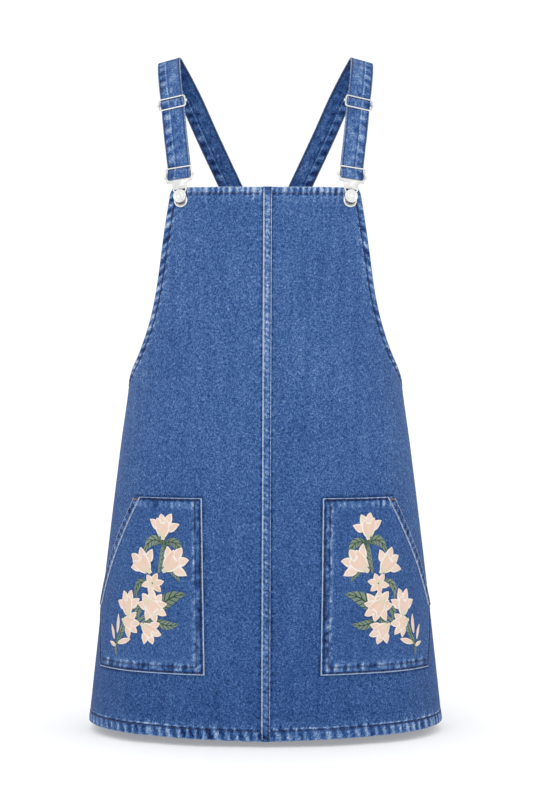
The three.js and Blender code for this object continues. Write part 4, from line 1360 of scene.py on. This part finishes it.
def plate(outline, low, high, bevel=0.25):
    """A flat plate with softened edges from its outline."""
    outline = np.asarray(outline, float)
    inwards = unit(outline.mean(0) - outline)
    rings = [np.column_stack([outline + inwards * inset, np.full(len(outline), height)])
             for height, inset in ((low, bevel), (low + bevel, 0), (high - bevel, 0), (high, bevel))]
    return np.concatenate(rings), tube_faces(4, len(outline))


def hardware(name, parts, distance, sign, shift=0.0):
    """One piece of joined metal forms, set on the strap's line in place of the solid of its name."""
    at, upwards, across, out = (v[0] for v in STRAP.frame(np.array([float(distance)])))
    points = []
    faces = []
    for local, shapes in parts:
        local = local + np.array([0, 0, shift])
        placed = at + local[:, :1] * sign * across + local[:, 1:2] * upwards + local[:, 2:] * out
        placed = mirrored(placed, sign)
        faces += [tuple(len(points) + i for i in face) for face in face_out(placed, shapes)]
        points += placed.tolist()
    finish_piece(mesh_object("metal_" + name, points, faces), NICKEL, [name])


def both_sides(half):
    """A line that ends on the middle, with its mirror image after it."""
    return half + [(-x, *more) for x, *more in half[-2::-1]]


def hook_parts():
    loop = [(7.8, 10.6, 0), (5.5, 3.4, 0), (6.9, -2.2, 0), (6.1, -10.1, 0), (0, -12.4, 0)]
    shoulder = HOOK_BOTTOM - 2
    neck = [(17.8, HOOK_BOTTOM + 1.5), (16.4, shoulder), (12, shoulder - 0.5), (9.7, shoulder - 2),
            (9.2, shoulder - 4), (9.2, 11.5), (8.3, 9.4), (4, 9.2), (0, 9.2)]
    return [
        sweep(rounded_rectangle(HOOK_HALF, HOOK_BOTTOM, HOOK_TOP, 2.4)),
        plate(both_sides(neck), -0.8, 0.8),
        sweep(catmull(both_sides(loop))),
        lathe(PRESSED_RING, 40, -4.9, closed=True),
        knobbed_bar(HOOK_HALF, HOOK_MIDDLE),
    ]


# Radius and height of the flat ring about the button's shank and of the button
PRESSED_RING = [(4.2, -0.6), (8.5, -0.6), (8.9, -0.25), (8.9, 0.3), (8.5, 0.65), (7.8, 0.6),
                (7.2, 0.35), (4.2, 0.3)]
BUTTON_ROWS = [
    (0.02, 0.3), (4.7, 0.3), (3.3, 1), (3.3, 3.2), (7.6, 3.2), (8.3, 3.5), (8.65, 4.1), (8.65, 5.1),
    (8.4, 5.8), (7.9, 6.3), (7.3, 6.55), (6.7, 6.4), (6.1, 5.9), (5.6, 5.6), (4.9, 5.5),
    (4.4, 5.7), (4.0, 6.2), (3.5, 6.4), (2.9, 6.3), (2.3, 6.0), (1.2, 5.9), (0.02, 5.9)]

for word, sign in HALVES:
    hardware(f"hook_{word}", hook_parts(), 0, sign)
    hardware(f"slider_{word}", [
        sweep(rounded_rectangle(SLIDER_HALF, -SLIDER_HIGH, SLIDER_HIGH, 3)),
        knobbed_bar(SLIDER_HALF, 0)], SLIDER_AT, sign)
    hardware(f"button_{word}", [lathe(BUTTON_ROWS, 48)], 0, sign, -HOOK_OUT)


# Seam stitching

brown, dark, pale, pocket_dark, tacks = [], [], [], [], []
for sign in (-1, 1):
    reach = float(FRONT_EDGE(BIB_TOP - 8.6)) - 8
    places = np.linspace(FELL_WIDTH / 2 + 1, reach, 60) * sign
    brown.append(body_line(FRONT, places, BIB_TOP - EDGE_HEM + 0.6, -0.05))
    for side, edge, top in ((FRONT, FRONT_EDGE, BIB_TOP), (BACK, BACK_EDGE, BACK_TOP)):
        line = offset_line(armhole_line(edge, top), EDGE_HEM - 0.4)
        line = line[(line[:, 0] < side.seam(line[:, 1]) - 1) & (line[:, 1] < top - 6)]
        dark.append(body_line(side, line[:, 0] * sign, line[:, 1], -0.05))
        share = np.linspace(0.0, 1, 160)
        hem = HEM + hem_lift(share, HEM) + SKIRT_HEM - 0.6
        dark.append(body_line(side, sign * share * (side.seam(hem) - 0.5), hem, -0.05))
    z = np.linspace(UNDERARM - 6, HEM + SKIRT_HEM + 2, 200)
    for gap in (1.8, 7.4):
        brown.append(body_line(BACK, sign * (BACK.seam(z) - gap), z, -0.02))
reach = float(BACK_EDGE(BACK_TOP - 8.6)) - 8
brown.append(body_line(BACK, np.linspace(-reach, reach, 60), BACK_TOP - EDGE_HEM + 0.6, -0.05))
z = np.linspace(BIB_TOP - 2, HEM + 2, 300)
out = SEAM_GAP + FELL_THICK
pale.append(body_line(FRONT, seam_at(z) - FELL_WIDTH / 2 + 1.7, z, out + 0.15))
dark.append(body_line(FRONT, seam_at(z) + FELL_WIDTH / 2 - 1.8, z, out - 0.05))
stitches("stitches_body", brown, BROWN, radius=0.42)
stitches("stitches_edges", dark, DARK, radius=0.42)

for word, sign in HALVES:
    corner, slant, low_corner = POCKET_OUTER[word]
    out = LAID_GAP + POCKET_THICK + 0.42

    def pocket_line(far, z, more=0.0):
        pocket_dark.append(body_line(FRONT, sign * far, z, out + more))

    for gap in (2.6, 9.2):
        z = np.linspace(POCKET_TOP - 3, POCKET_BOTTOM + gap, 120)
        pocket_line(pocket_inner(word, z) + gap, z)
        pocket_line(np.linspace(POCKET_INNER[word][1] + gap, low_corner - 3, 120), POCKET_BOTTOM + gap)
    pocket_line(np.linspace(POCKET_INNER[word][0] + 2, corner - 13, 80), POCKET_TOP - 2.2, -0.1)
    z = np.linspace(SLANT_END - 4, POCKET_BOTTOM + 3, 50)
    pocket_line(pocket_reach(word, z) - 2.4, z, -0.2)
    band_out = LAID_GAP + SEAM_GAP + POCKET_THICK + MOUTH_THICK
    z = np.linspace(POCKET_TOP - 2, SLANT_END + 1, 130)
    for gap in (1.5, MOUTH_WIDTH - 1.5):
        far = pocket_reach(word, z) - gap
        pale.append(body_line(FRONT, sign * far, z, band_out + mouth_lift(word, far, z) - 0.02))
    for z in (POCKET_TOP - 3.4, SLANT_END + 6):
        ends = np.linspace(z - 1.5, z + 1.5, 4)
        for k in range(12):
            far = np.full(4, pocket_reach(word, z) - 2.6 - 0.5 * k)
            level = band_out + mouth_lift(word, far, ends) + 0.1
            tacks.append(body_line(FRONT, sign * far, ends, level))
stitches("stitches_pockets", pocket_dark, DARK, radius=0.42)
stitches("stitches_tacks", tacks, RUST, pitch=2.9, long=2.8, radius=0.34)
stitches("stitches_pale", pale, PALE)
stitches("stitches_straps", strap_lines, BROWN)

# Floor, lights and camera

FLOOR = -868.0
FLOOR_HALF = 9000
corners = [(x * FLOOR_HALF, y * FLOOR_HALF, FLOOR) for x, y in ((-1, -1), (1, -1), (1, 1), (-1, 1))]
floor = mesh_object("floor", corners, [(0, 1, 2, 3)])
floor.data.materials.append(Material("pale_floor").finish(
    Base_Color=(0.78, 0.78, 0.78, 1), Emission_Color=(1, 1, 1, 1), Emission_Strength=0.24,
    Roughness=0.9, Specular_IOR_Level=0.0))

world = bpy.data.worlds.new("studio")
bpy.context.scene.world = world
world.use_nodes = True
backdrop = world.node_tree.nodes["Background"]
backdrop.inputs["Color"].default_value = (1, 1, 1, 1)
backdrop.inputs["Strength"].default_value = 1.06


def softbox(name, place, target, size, power):
    light = bpy.data.lights.new(name, "AREA")
    light.shape = "RECTANGLE"
    light.size, light.size_y = size
    light.energy = power
    lamp = bpy.data.objects.new(name, light)
    lamp.location = place
    lamp.rotation_euler = (Vector(target) - Vector(place)).to_track_quat("-Z", "Y").to_euler()
    bpy.context.scene.collection.objects.link(lamp)


softbox("key", (-0.9, -2.6, 1.3), (0, 0, -0.4), (1.6, 1.6), 16)
softbox("fill", (1.6, -2.2, 0.6), (0, 0, -0.45), (1.6, 1.8), 6)

camera = bpy.data.cameras.new("camera")
camera.lens = 93.6
camera.sensor_width = 36
view = bpy.data.objects.new("camera", camera)
view.location = (1.3 * MM, -2.705, -0.443)
view.rotation_euler = (math.pi / 2, 0, 0)
bpy.context.scene.collection.objects.link(view)
bpy.context.scene.camera = view
bpy.context.scene.view_settings.view_transform = "Standard"
